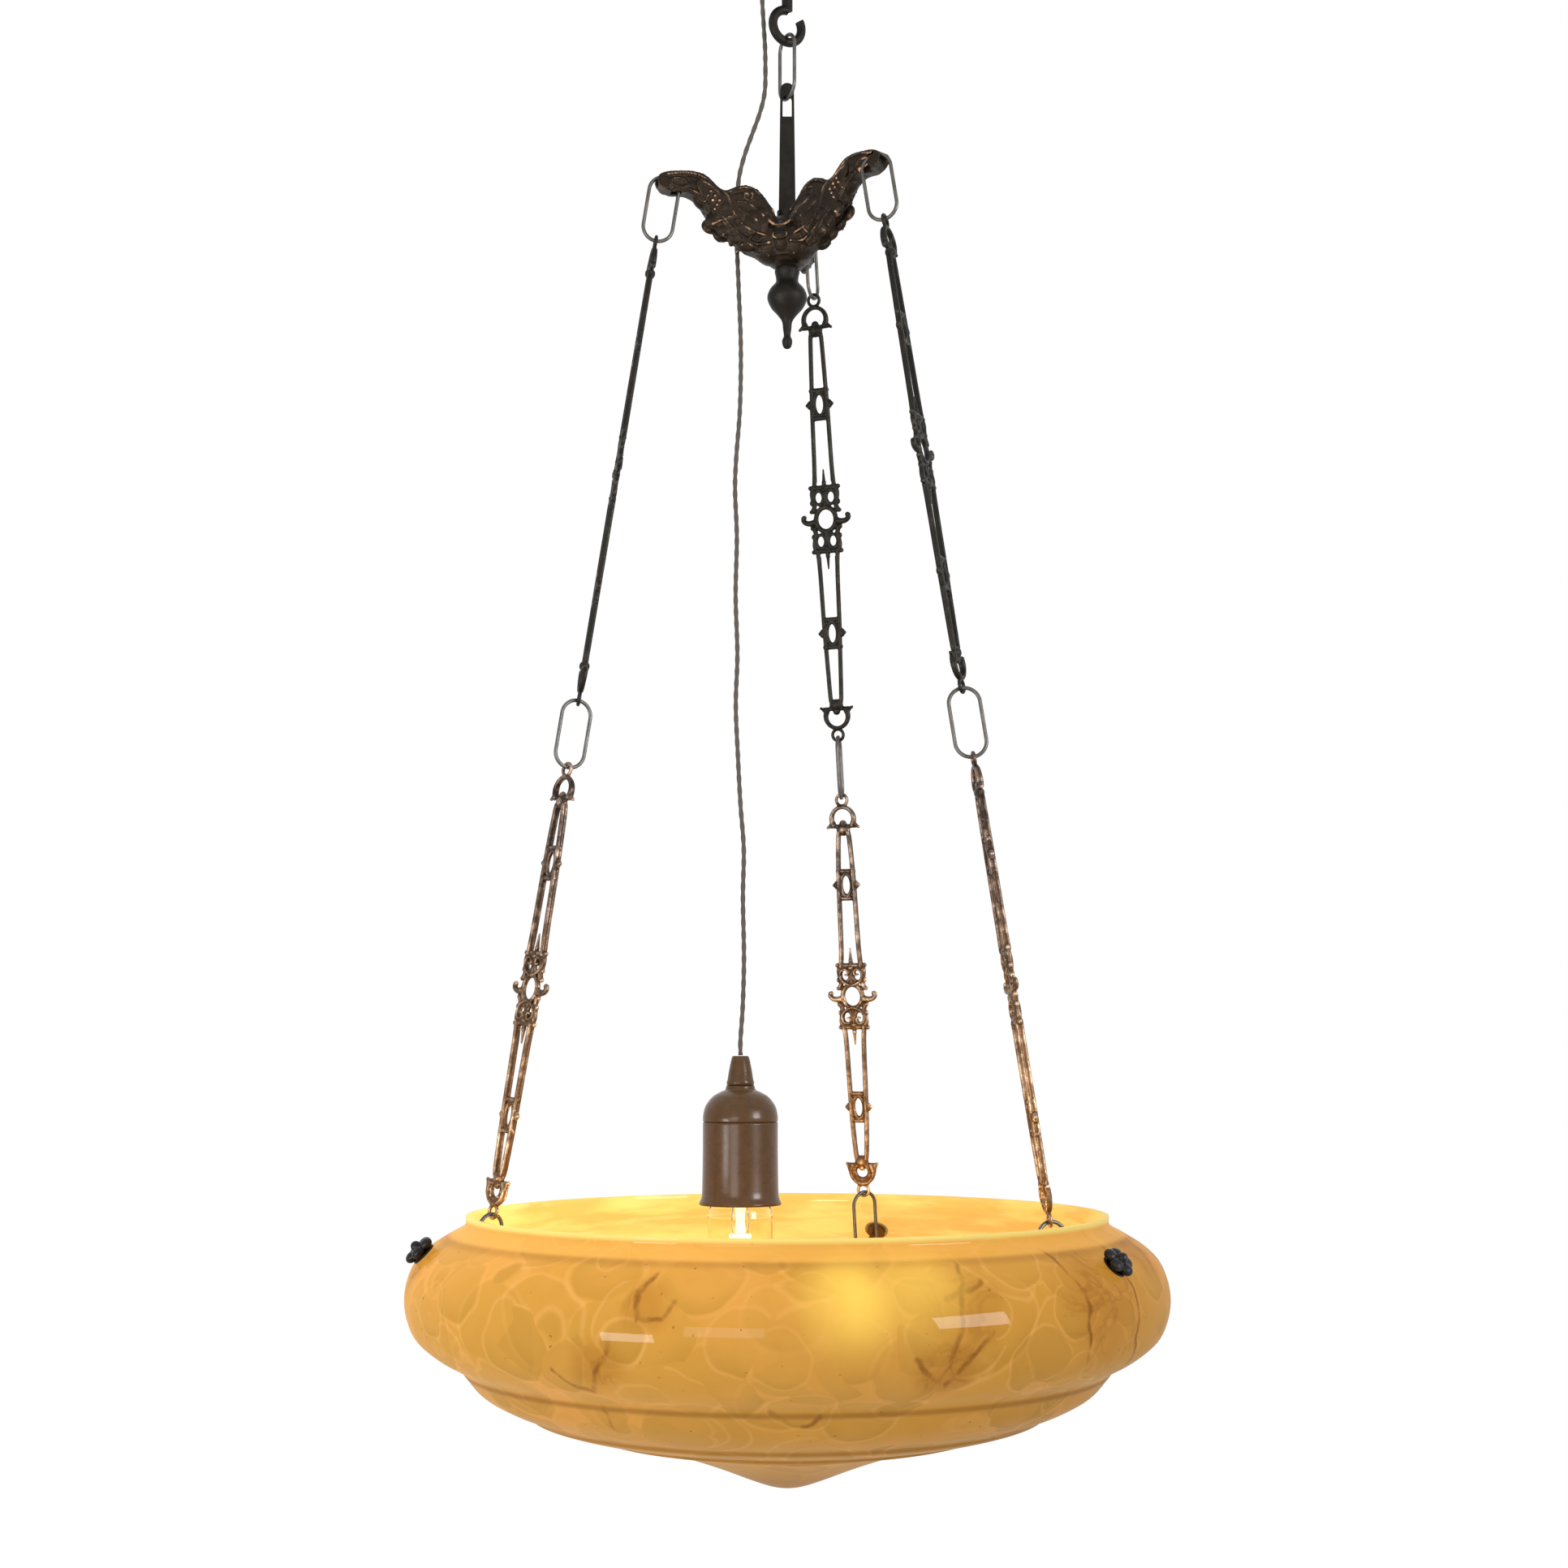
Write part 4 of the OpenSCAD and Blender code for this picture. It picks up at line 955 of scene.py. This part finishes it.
def bar_mesh(name, length, rich):
    """A bar with its eyes. The lower, rich kind has hearts on its plate and a shield at its foot."""
    c = Cast()
    half = length / 2

    def rod(quarter, points, radius, x=0, smooth=4):
        """A rod through points (y, z), in the quarter that (side, end) gives."""
        side, end = quarter
        c.wire([(x, side * y, end * z) for y, z in points], radius, smooth=smooth)

    def dot(quarter, y, z, size, x=0):
        side, end = quarter
        c.ball((x, side * y, end * z), size)

    for end in (1, -1):
        mid = (1, end)
        # eye, stirrup, its cross bar and the boss
        c.wire(arc((0, 0, end * half), 3.35, 0, 345, 23), 1.0, True)
        dot(mid, 0, half - 3.9, (1.5, 2.4, 1.3))
        bow = [(y, z) for _, y, z in arc((0, 0, half - 11), 6.9, -34, 214, 20)]
        for x in (-0.45, 0.45):
            rod(mid, bow, (1.6, 1.3, 1.2, 1.3, 1.6), x, smooth=1)
        rod(mid, [(-7.4, half - 15.4), (7.4, half - 15.4)], 1.25)
        dot(mid, 0, half - 17.6, (2.2, 4.4, 3.6))
        dot(mid, 0, half - 13.9, (1.7, 2.3, 2.2))
        for side in (-1, 1):
            quarter = (side, end)
            rod(quarter, [(6, half - 13.4), (7.8, half - 15), (9.9, half - 16.2)], (1.5, 1.4, 0.6))
            dot(quarter, 9.6, half - 16, 0.95)
            # rails, and the oval's shoulders
            rail = [(2.8, half - 19), (3.4, half - 23), (4.2, 80), (4.8, 62), (5.4, 30), (6.2, 18)]
            for x in (-0.85, 0.85) if rich else (-0.35, 0.35):
                rod(quarter, rail, 1.25, x)
            rod(quarter, [(4.6, 56), (4.8, 22)], 0.62)
            dot(quarter, 6.2, 66.3, (1.5, 1.7, 2.6))
            dot(quarter, 7.6, 66.3, 1.15)
            # plate: outer frame, its curled corners and the small ring
            frame_side = [(6.2, 18.6), (7.7, 15.6), (7.5, 11.8), (6.6, 8.4), (7.6, 5.2)]
            rod(quarter, frame_side, (1.4, 1.5, 1.3, 1.4, 1.5))
            dot(quarter, 8.4, 18.6, (1.3, 1.6, 1.4))
            dot(quarter, 8.3, 9.8, (1.2, 1.2, 1.6))
            dot(quarter, 8.5, 4.8, (1.3, 1.5, 1.3))
            c.wire(oval((0, side * 3.8, end * 12.7), 2.8, end * 3.9, 0.35), 1.0, True)
            if rich:
                for x in (-1.15, 1.15):
                    rod(quarter, HEART, (0.8, 0.75, 0.6), x)
        # oval between two cross bars, then the plate's edge and its spike
        for z in (58.4, 74.4):
            rod(mid, [(-4.8, z), (4.8, z)], 1.5)
        c.wire(oval((0, 0, end * 66.4), 3.4, end * 6.6, 0.3), 1.25, True)
        rod(mid, [(-7.4, 18.4), (7.4, 18.4)], 1.5)
        rod(mid, [(0, 7.4), (0, 17)], (1.5, 1.1, 1.5))
        rod(mid, [(0, 18), (0, 22), (0, 28.8)], (1.6, 1.1, 0.5))
        dot(mid, 0, 21.4, 1.4)
        for x in (-1.2, 1.2):
            dot(mid, 0, half - 17.4, (1.6, 2.6, 2.4), x)
            dot(mid, 0, 17, (0.9, 1.6, 1.2), x)
    # middle ring and the two horns
    c.wire(oval((0, 0, 0), 6.1, 7.0, 0.22), 1.5, True)
    for side in (-1, 1):
        horn = [(7, -1.4), (9.6, -1.8), (12.2, -1.4), (14, 0), (14, 1.8)]
        rod((side, 1), horn, (2.0, 1.8, 1.6, 1.4, 1.3))
        dot((side, 1), 13.4, 1.8, (1.4, 1.5, 1.5))
    if rich:
        # the lower end's stirrup is filled to a shield with a round hole
        c.wire(arc((0, 0, -half + 11.2), 4.6, 0, 345, 23), 1.35, True)
        for side in (-1, 1):
            rod((side, -1), [(8.6, half - 15.6), (6.4, half - 9), (3, half - 4.4)], (1.2, 1.5, 1.3))
        for x in (-1.1, 1.1):
            for _, y, z in arc((0, 0, -half + 11.2), 4.6, 0, 315, 7):
                c.ball((x, y, z), 0.75, 5, 8)
    return c.melt(name, 0.36, 3)


upper_mesh = bar_mesh("upper_bar_cast", UPPER_LEN, False)
lower_mesh = bar_mesh("lower_bar_cast", LOWER_LEN, True)
for k in range(3):
    chain, upper, lower = (f"{word}_{k + 1}" for word in ("chain", "upper_bar", "lower_bar"))
    high, low = on_chain(k, CHAIN_LEN - UPPER_LEN / 2), on_chain(k, LOWER_LEN / 2, LOWER_TURNS[k])
    place(upper + "_cast", upper_mesh, high, chain, "bar_bronze", upper)
    place(lower + "_cast", lower_mesh, low, chain, "copper_bronze", lower)
print("bar points", len(upper_mesh.vertices), len(lower_mesh.vertices))

# %% [markdown]
# ## Crown: arms
# Three leafy arms grow out of a turned hub, and the bill of each carries a chain. They could be sculpted.
# A few stretched balls give the same swelling forms, and each can be read and changed by itself. They are
# laid over the construction's crown, so that its eyes stay where the links need them.

# %% Arms
# An arm's flesh, as balls: radius and height of the middle, half length, half height and half width
FLESH = [(9, 13, 11, 12, 11), (17, 21, 12, 13, 9.6), (27, 26, 12, 13, 6.9), (37, 29, 10, 8.5, 6.8),
         (46, 36, 8, 8.3, 6.2), (52, 40.5, 7, 5.8, 5.4)]
# Scallops under its lower edge. The cord passes beside the third arm, which has only two there
SCALLOPS = [(42, 21, 5.5, 4.4), (36, 16.6, 5, 4), (24, 9.4, 5.6, 4), (30, 13, 5, 4)]

crown = Cast()
cad = frame["nodes"]["crown"].data
hub_at = Vector((0, 0, CROWN_Z * MM))
cad_points = [tuple(c / MM for c in v.co - hub_at) for v in cad.vertices]
crown.add(cad_points, [tuple(p.vertices) for p in cad.polygons])
for k, side in enumerate(HEAD_SIDES):
    flesh = Cast()
    for r, h, long, high, wide in FLESH:
        flesh.ball((r, 0, h), (long, wide, high), 14, 24)
    for way in (-1, 1):
        beside_cord = k == 2 and way < 0
        for r, h, long, high in SCALLOPS[: 2 if beside_cord else 4]:
            flesh.ball((r, way * 4.2, h), (long, 2.4, high), 12, 18)
    crown.add([turned("Z", side) @ Vector(v) for v in flesh.verts], flesh.faces)
body = BVHTree.FromPolygons(crown.verts, crown.faces)
print("arm points", len(crown.verts))

# %% [markdown]
# ## Crown: leaves and scrolls
# Each side of an arm has ridges along its edges, scrolls near the hub, veins that fan out along the arm,
# a patch of beads and an oval opening in the bill. A picture of heights could raise them. They are thin
# wires instead, laid onto the side by rays, so that they follow its swelling and melt into it.

# %% Ridges and swellings
# Ridges on an arm, as radius and height, each with its thickness
RIDGES = [
    # both edges
    ([(9.5, 29), (14, 35.2), (19, 39.6), (24.4, 41.2), (30, 39.9), (35, 37.4), (39.6, 38), (44, 41.6),
      (49, 44.8), (55.4, 46), (62, 45.4), (68, 44.2)], 0.65),
    ([(12, 4), (18, 7.4), (23, 9), (27, 12), (31.6, 14.6), (35, 18), (39, 21), (42.4, 24.2), (46, 29),
      (50, 34), (55.4, 36.8), (60, 37.2)], 0.6),
    # leaf veins, and the fold where the neck starts
    ([(13, 10), (18, 9.6), (22.6, 10.8), (28, 14), (34, 18.6), (38, 23)], (0.75, 0.5)),
    ([(15, 14), (21, 16), (27, 20), (32, 26)], (0.7, 0.45)),
    ([(38.5, 38.2), (35.4, 34.5), (33.4, 30), (31.8, 25)], (0.8, 0.6)),
    ([(16, 25), (20, 29.5), (25, 32), (30, 32)], (0.7, 0.5)),
    ([(20, 22), (24, 26), (29, 28)], (0.65, 0.45)),
    ([(33, 24), (38, 21.5), (43.5, 18.6)], (0.45, 0.6)),
    ([(27.5, 19.5), (32, 16), (37.6, 13.4)], (0.45, 0.6)),
    ([(20.5, 15.5), (24, 11.6), (27.5, 8.4)], (0.45, 0.6)),
    # the bill, and the ring on it
    ([(41, 36), (46, 40), (52, 43), (57, 43.6)], (0.6, 0.5)),
    ([(56.5, 39.4), (59, 42), (63, 42.6), (66.5, 41), (65, 38.6), (60.5, 37.8), (56.5, 39.4)], 0.6),
]
CURLS = [((24.5, 0, 36), 3.2, 150, 500), ((29, 0, 20.4), 2.8, -60, 240)]
# Swellings along both edges: radius, height and size
SWELLINGS = [(31, 11.8, 1.4), (36.5, 16.6, 1.4), (41.6, 21.8, 1.4), (46, 27.6, 1.3), (26, 9.4, 1.3),
             (18.4, 40.2, 1.6), (24.5, 41.8, 1.6), (30.4, 40, 1.5), (50, 45.4, 1.3), (57, 46.4, 1.2)]
# Rays start BESIDE the arm's middle. Where one misses or goes past DEEPEST, the point is HALF_ARM out
BESIDE, DEEPEST, HALF_ARM = 18, 14.5, 4.2
print("ridges on a side", len(RIDGES))


# %% Leaves and scrolls
def arm_parts(c, side):
    """The cast detail on both sides of one arm."""
    matrix = turned("Z", side)

    def on_skin(r, h, way, out=0.1):
        """The point of the arm's side at a radius and a height, found by a ray from beside the arm."""
        start = matrix @ Vector((r, way * BESIDE, h))
        hit, _, _, depth = body.ray_cast(start, matrix.to_3x3() @ Vector((0, -way, 0)))
        reach = BESIDE - depth if hit is not None and depth < DEEPEST else HALF_ARM
        return tuple(matrix @ Vector((r, way * (reach + out), h)))

    for way in (-1, 1):
        for points, size in RIDGES:
            c.wire([on_skin(r, h, way) for r, h in points], size, sides=8, smooth=3, rub=True)
        for centre, radius, start, stop in CURLS:
            curl = [on_skin(r, h, way) for r, _, h in arc(centre, radius, start, stop, 24, "xz", 0.3)]
            c.wire(curl, (0.7, 0.45), sides=8, smooth=1, rub=True)
        for r, h, size in SWELLINGS:
            c.ball(tuple(matrix @ Vector((r, way * 3.0, h))), size)
        for i in range(3):
            for j in range(3):
                bead = on_skin(42.6 + i * 2.5 - j * 1.3, 26.6 + i * 2.3 + j * 2.5, way, 0.15)
                c.ball(bead, 1.0, 6, 8, rub=True)


for side in HEAD_SIDES:
    arm_parts(crown, side)

print("points with leaves", len(crown.verts))

# %% [markdown]
# ## Crown: hub
# The hub is turned, with a row of long beads and a row of small ones. Between two arms it has an oval boss
# and a collar that rises to the leaves. It could be a piece of its own, but on the real crown it is cast
# with the arms, so it is laid in with them, and all of it melts together.

# %% Hub
# The turned hub, with a row of long beads and a row of small ones
HUB = [(0.01, 0), (6.6, 0), (7.4, 1.2), (9.6, 1.8), (10.4, 3.2), (12.2, 4.2), (13, 6.4), (12.2, 7.8),
       (13.8, 9), (14.6, 11.4), (14.6, 14), (13.4, 16), (13, 20), (12, 24), (9.4, 26.8), (0.01, 27)]
HUB_SIDES, BEADS = 48, 24
crown.add([around(r, a, z) for r, z in HUB for a in full_turn(HUB_SIDES)], skin(len(HUB), HUB_SIDES))
crown.ring(BEADS, 12.8, 6.8, (0.8, 0.8, 1.3), 8, 8, look="dark_bronze")
crown.ring(BEADS, 10.0, 3.0, (0.6, 0.6, 0.6), 6, 8, look="dark_bronze")
crown.rubbed += [(around(12.8, a, 6.8), 0.8) for a in full_turn(BEADS)[::3]]

# Between two arms: a swelling, an oval boss, and a collar that rises to the leaves
for side in HEAD_SIDES:
    gap = math.radians(side + 60)
    crown.ball(around(9, gap, 14), (7.5, 7.5, 10), 14, 24)
    boss = Cast()
    boss.ball((16.2, 0, 13.6), (1.5, 3.8, 2.0), 10, 18)
    boss.wire(oval((16.6, 0, 13.4), 3.9, 2.1, 0.3), 0.5, True, rub=True)
    turn = turned("Z", side + 60)
    crown.add([turn @ Vector(v) for v in boss.verts], boss.faces)
    crown.rubbed += [(tuple(turn @ Vector(v)), r) for v, r in boss.rubbed]
    collar = [around(15.4 + 0.12 * j * j, gap + math.radians(j * 11), 18.8 + 0.74 * j * j)
              for j in range(-4, 5)]
    crown.wire(collar, (0.6, 1.0, 0.6), sides=8, smooth=2, rub=True)
crown_mesh = crown.melt("crown_cast", 0.42, 2, 0.3)
place("crown_cast", crown_mesh, Matrix.Translation((0, 0, CROWN_Z)), "pendant", "dark_bronze", "crown")
print("crown points", len(crown_mesh.vertices))

# %% [markdown]
# ## Knobs
# A knob sits outside the glass at each hook: five petals round a domed middle. Petals could be bent from
# a plane, but the real ones are thick and run into each other, as melted balls do. One knob is made, and
# placed three times.

# %% Knobs
knob = Cast()
knob.ball((0, 0, 1.9), (5.6, 5.6, 2.4), 10, 24)
knob.ring(5, 5.1, 2.9, (3.7, 3.7, 2.7), 10, 18, look="knob_black")
knob.ball((0, 0, 4.8), (2.9, 2.9, 3.4), 10, 18)
knob_mesh = knob.melt("knob_cast", 0.22, 2)
for k in range(3):
    place(f"knob_{k + 1}_cast", knob_mesh, at_bolt(k) @ Matrix.Translation((0, 0, 1.2)), f"knob_{k + 1}",
          "knob_black", f"rosette_{k + 1}")
print("knob points", len(knob_mesh.vertices))

# %% [markdown]
# ## Turned pieces
# Finial, lampholder and lamp are round, with smooth outlines and a gloss that shows every corner. The
# construction has them with fewer points. They could be smoothed with a modifier, which would also round
# what is meant to be sharp, so they are turned again from the same outlines, with more points.

# %% Turned pieces
HOLDER_AT = (-25, 2, RIM)


def turned_piece(name, profile, node, body, look, at=HOLDER_AT):
    settle(lathe(name, profile, 96, at), body, look, node)


def smoothed(outline, steps, low=(-99, -99), high=(99, 99)):
    """A smooth outline through the given points, kept between two corners."""
    return [tuple(p) for p in np.clip(curve_through(outline, steps), low, high)]


FINIAL = [(6.6, 0), (6.8, -2), (6.2, -5), (6.4, -8), (9.6, -12), (10.9, -16.5), (9, -21.5), (5.6, -25.5),
          (2.9, -29.5), (2.3, -34), (1.9, -37.6), (2.7, -39.8), (2.7, -42), (1.8, -44.2), (0, -45)]
turned_piece("finial_turned", [(0, 0)] + smoothed(FINIAL, 6, (0, -45), (99, 0)), "finial", "pendant",
             "black_iron", (0, 0, CROWN_Z))
BODY = [(19.6, 47.9), (20, 47.6), (20, 47), (20, 46), (20, 34), (20.1, 22), (20.3, 12), (20.5, 9),
        (20.9, 7.2), (21.6, 5.9), (21.9, 5.2), (21.9, 4.5), (21.6, 4.1), (20.8, 4), (20.2, 4.4), (19.4, 6),
        (18, 12), (17.8, 20), (17.8, 47.9)]
turned_piece("holder_body_turned", BODY, "holder_body", "holder", "brown_resin")
DOME_OUT = [(20, 48.4), (19.9, 51.5), (18.6, 56.5), (15, 61.2), (10.8, 63.8), (8.2, 65), (7.6, 67)]
DOME_IN = [(9.6, 61.8), (13.6, 59.2), (16.6, 55.2), (17.8, 51)]
dome = [(19.6, 48.1), *smoothed(DOME_OUT, 6), (5, 67), (5, 62.4), *smoothed(DOME_IN, 4), (17.8, 48.1)]
turned_piece("holder_dome_turned", dome, "holder_dome", "holder", "brown_resin")
GRIP = [(1.6, 63), (4.9, 63), (4.9, 67.1), (7.2, 67.1), (7.4, 69), (6.9, 70.4), (6.2, 75), (5.2, 80),
        (4.7, 82), (4.2, 83), (1.6, 83)]
turned_piece("cord_grip_turned", GRIP, "cord_grip", "holder", "brown_resin")

print("finial and holder turned, holder at", HOLDER_AT)

# %% [markdown]
# ## Lamp
# A clear envelope holds a lit stem, lead wires, a pinched seal and a capsule. Most of it is hidden by the
# rim, and a plain glowing shape could stand for it. It is made in full, because the lamp can be turned
# out of its holder.

# %% Lamp
ENVELOPE = [(12.3, 11.9), (12.4, 7), (14.4, 4.9), (16.4, 2.6), (17.2, -1.4), (17.3, -8), (17.3, -52),
            (15.6, -60), (11, -64.2), (5, -65.8), (0, -66)]
GLASS_WALL = 0.9
outside = smoothed(ENVELOPE, 5, (0, -66), (17.3, 11.9))
inside = [(max(r - GLASS_WALL, 0.0), min(z + 0.5 + 0.5 * (z < -55), 11.9)) for r, z in outside]
turned_piece("lamp_envelope", outside + inside[::-1], "bulb_glass", "lamp", "clear_glass")
STEM = [(0, 11.9), (7, 11.9), (7, 10.6), (5.2, 7), (3.4, 3), (2.5, -1), (2.3, -5), (3.0, -9.4),
        (2.6, -10.6), (0, -10.8)]
turned_piece("lamp_stem", STEM, "bulb_stem", "lamp", "lit_glass")
CAPSULE = [(0, -17.2), (3.4, -17.6), (5.4, -19), (6.3, -22), (6.4, -44), (5.6, -48), (3.4, -50.6), (0, -51.8)]
capsule = smoothed(CAPSULE, 4, (0, -51.8), (6.4, -17.2))
turned_piece("lamp_capsule", capsule, "bulb_capsule", "lamp", "lit_glass")
seal = Cast()
corners = [(x, y, z) for z in (-11.2, -17.6) for x, y in ((-5.8, -2), (5.8, -2), (5.8, 2), (-5.8, 2))]
seal.add(corners, [(0, 1, 2, 3), (7, 6, 5, 4), (0, 4, 5, 1), (1, 5, 6, 2), (2, 6, 7, 3), (3, 7, 4, 0)])
for x in (-3, 3):
    seal.wire([(x, -2.0, -12), (x, -2.0, -17)], 0.8)
place("lamp_seal", seal.melt("lamp_seal", 0.3, 3), Matrix.Translation(HOLDER_AT), "lamp", "lit_glass",
      "bulb_capsule", replaces=False)
leads = Cast()
for side in (-1, 1):
    leads.wire([(side * 3.4, 0, 3.4), (side * 4.4, 0, -2), (side * 4.2, 0, -8), (side * 3.4, 0, -12)], 0.45)
place("lamp_leads", leads.melt("lamp_leads", 0.15, 2), Matrix.Translation(HOLDER_AT), "lamp", "nickel",
      "lead_wires")
print("seal and lead points", len(seal.verts), len(leads.verts))

# %% [markdown]
# ## Light
# A white surround, three soft windows in front that show in the glass, and the lamp in the bowl. A picture
# of a room could give the same gloss. Lamps that only show in gloss are simpler, and each is placed where
# the glass would mirror it at one point of the belly. The surround is white only for the rays that show
# it, so that the object isn't flooded with light.

# %% Light
world = bpy.data.worlds.new("studio")
bpy.context.scene.world = world
world.use_nodes = True
w = Nodes(world.node_tree)
world.node_tree.nodes.clear()
up = w.xyz(w.add("ShaderNodeTexCoord").outputs["Generated"])[2]
room = w.mix(w.step(up, -0.4, 0.05), (0.16, 0.16, 0.16), (0.66, 0.66, 0.67))
background = w.add("ShaderNodeBackground", Color=w.mix(w.seen(), room, (1.0, 1.0, 1.0)), Strength=1.0)
w.add("ShaderNodeOutputWorld", Surface=background.outputs[0])


def area(name, where, target, size, power, shows=True):
    """A soft light, which either shows in gloss or lights what is matt."""
    light = bpy.data.lights.new(name, "AREA")
    light.shape = "RECTANGLE"
    light.size, light.size_y = size
    light.energy = power
    obj = in_scene(name, light)
    obj.location = where
    obj.visible_glossy = shows
    obj.visible_diffuse = not shows
    obj.rotation_euler = (Vector(target) - Vector(where)).to_track_quat("-Z", "Y").to_euler()


def mirrored(point, distance):
    """Where a light stands that shows in the glass at a point of the belly."""
    p = Vector(up_to_rim(point))
    k = int(np.argmin(np.abs(outer[:, 1] - point[2])))
    tangent = Vector(tuple(outer[k + 1] - outer[k - 1]))
    flat = Vector((point[0], point[1], 0)).normalized()
    normal = (flat * -tangent.y + Vector((0, 0, tangent.x))).normalized()
    view = (p - camera.location).normalized()
    return p + (view - 2 * view.dot(normal) * normal) * distance, p


WINDOWS = [("window_left", (-72, -187, -42), (0.7, 0.5), 30),
           ("window_mid", (-28, -197, -38), (1.0, 0.6), 14),
           ("window_right", (83, -180, -36), (1.0, 0.6), 48)]
for name, point, size, power in WINDOWS:
    area(name, *mirrored(point, 2.4), size, power)
area("key", (-1.2, -1.6, 0.9), (0, 0, -0.5), (1.2, 1.2), 20, False)
area("fill", (1.6, -1.0, 0.4), (0, 0, -0.5), (1.4, 1.4), 10, False)
lamp = bpy.data.lights.new("lamp_glow", "POINT")
lamp.energy = 0.6
lamp.color = (1.0, 0.78, 0.45)
lamp.shadow_soft_size = 0.012
in_scene("lamp_glow", lamp).location = (-0.025, 0.002, (RIM - 78) * MM)

# %% [markdown]
# ## Floor
# The light hangs free over a pale floor. A backdrop that curves up could close the picture, but nothing
# stands on it here, so a flat disc far below is enough. It goes over into the white of the surround.

# %% Floor
FLOOR_R, FLOOR_Z, FLOOR_SIDES = 2400, -2200, 72
edge = [around(FLOOR_R, a, FLOOR_Z) for a in full_turn(FLOOR_SIDES)]
floor = piece("floor", edge, [tuple(range(FLOOR_SIDES))])
n, where = material("floor")
n.give(Base_Color=n.mix(n.noise(where, 3), (0.86, 0.86, 0.86), (0.9, 0.9, 0.9)), Roughness=0.8,
       Emission_Color=(1, 1, 1, 1), Emission_Strength=n.times(n.seen(), 0.3))
dress(floor, "floor")
print("floor at", FLOOR_Z * MM)
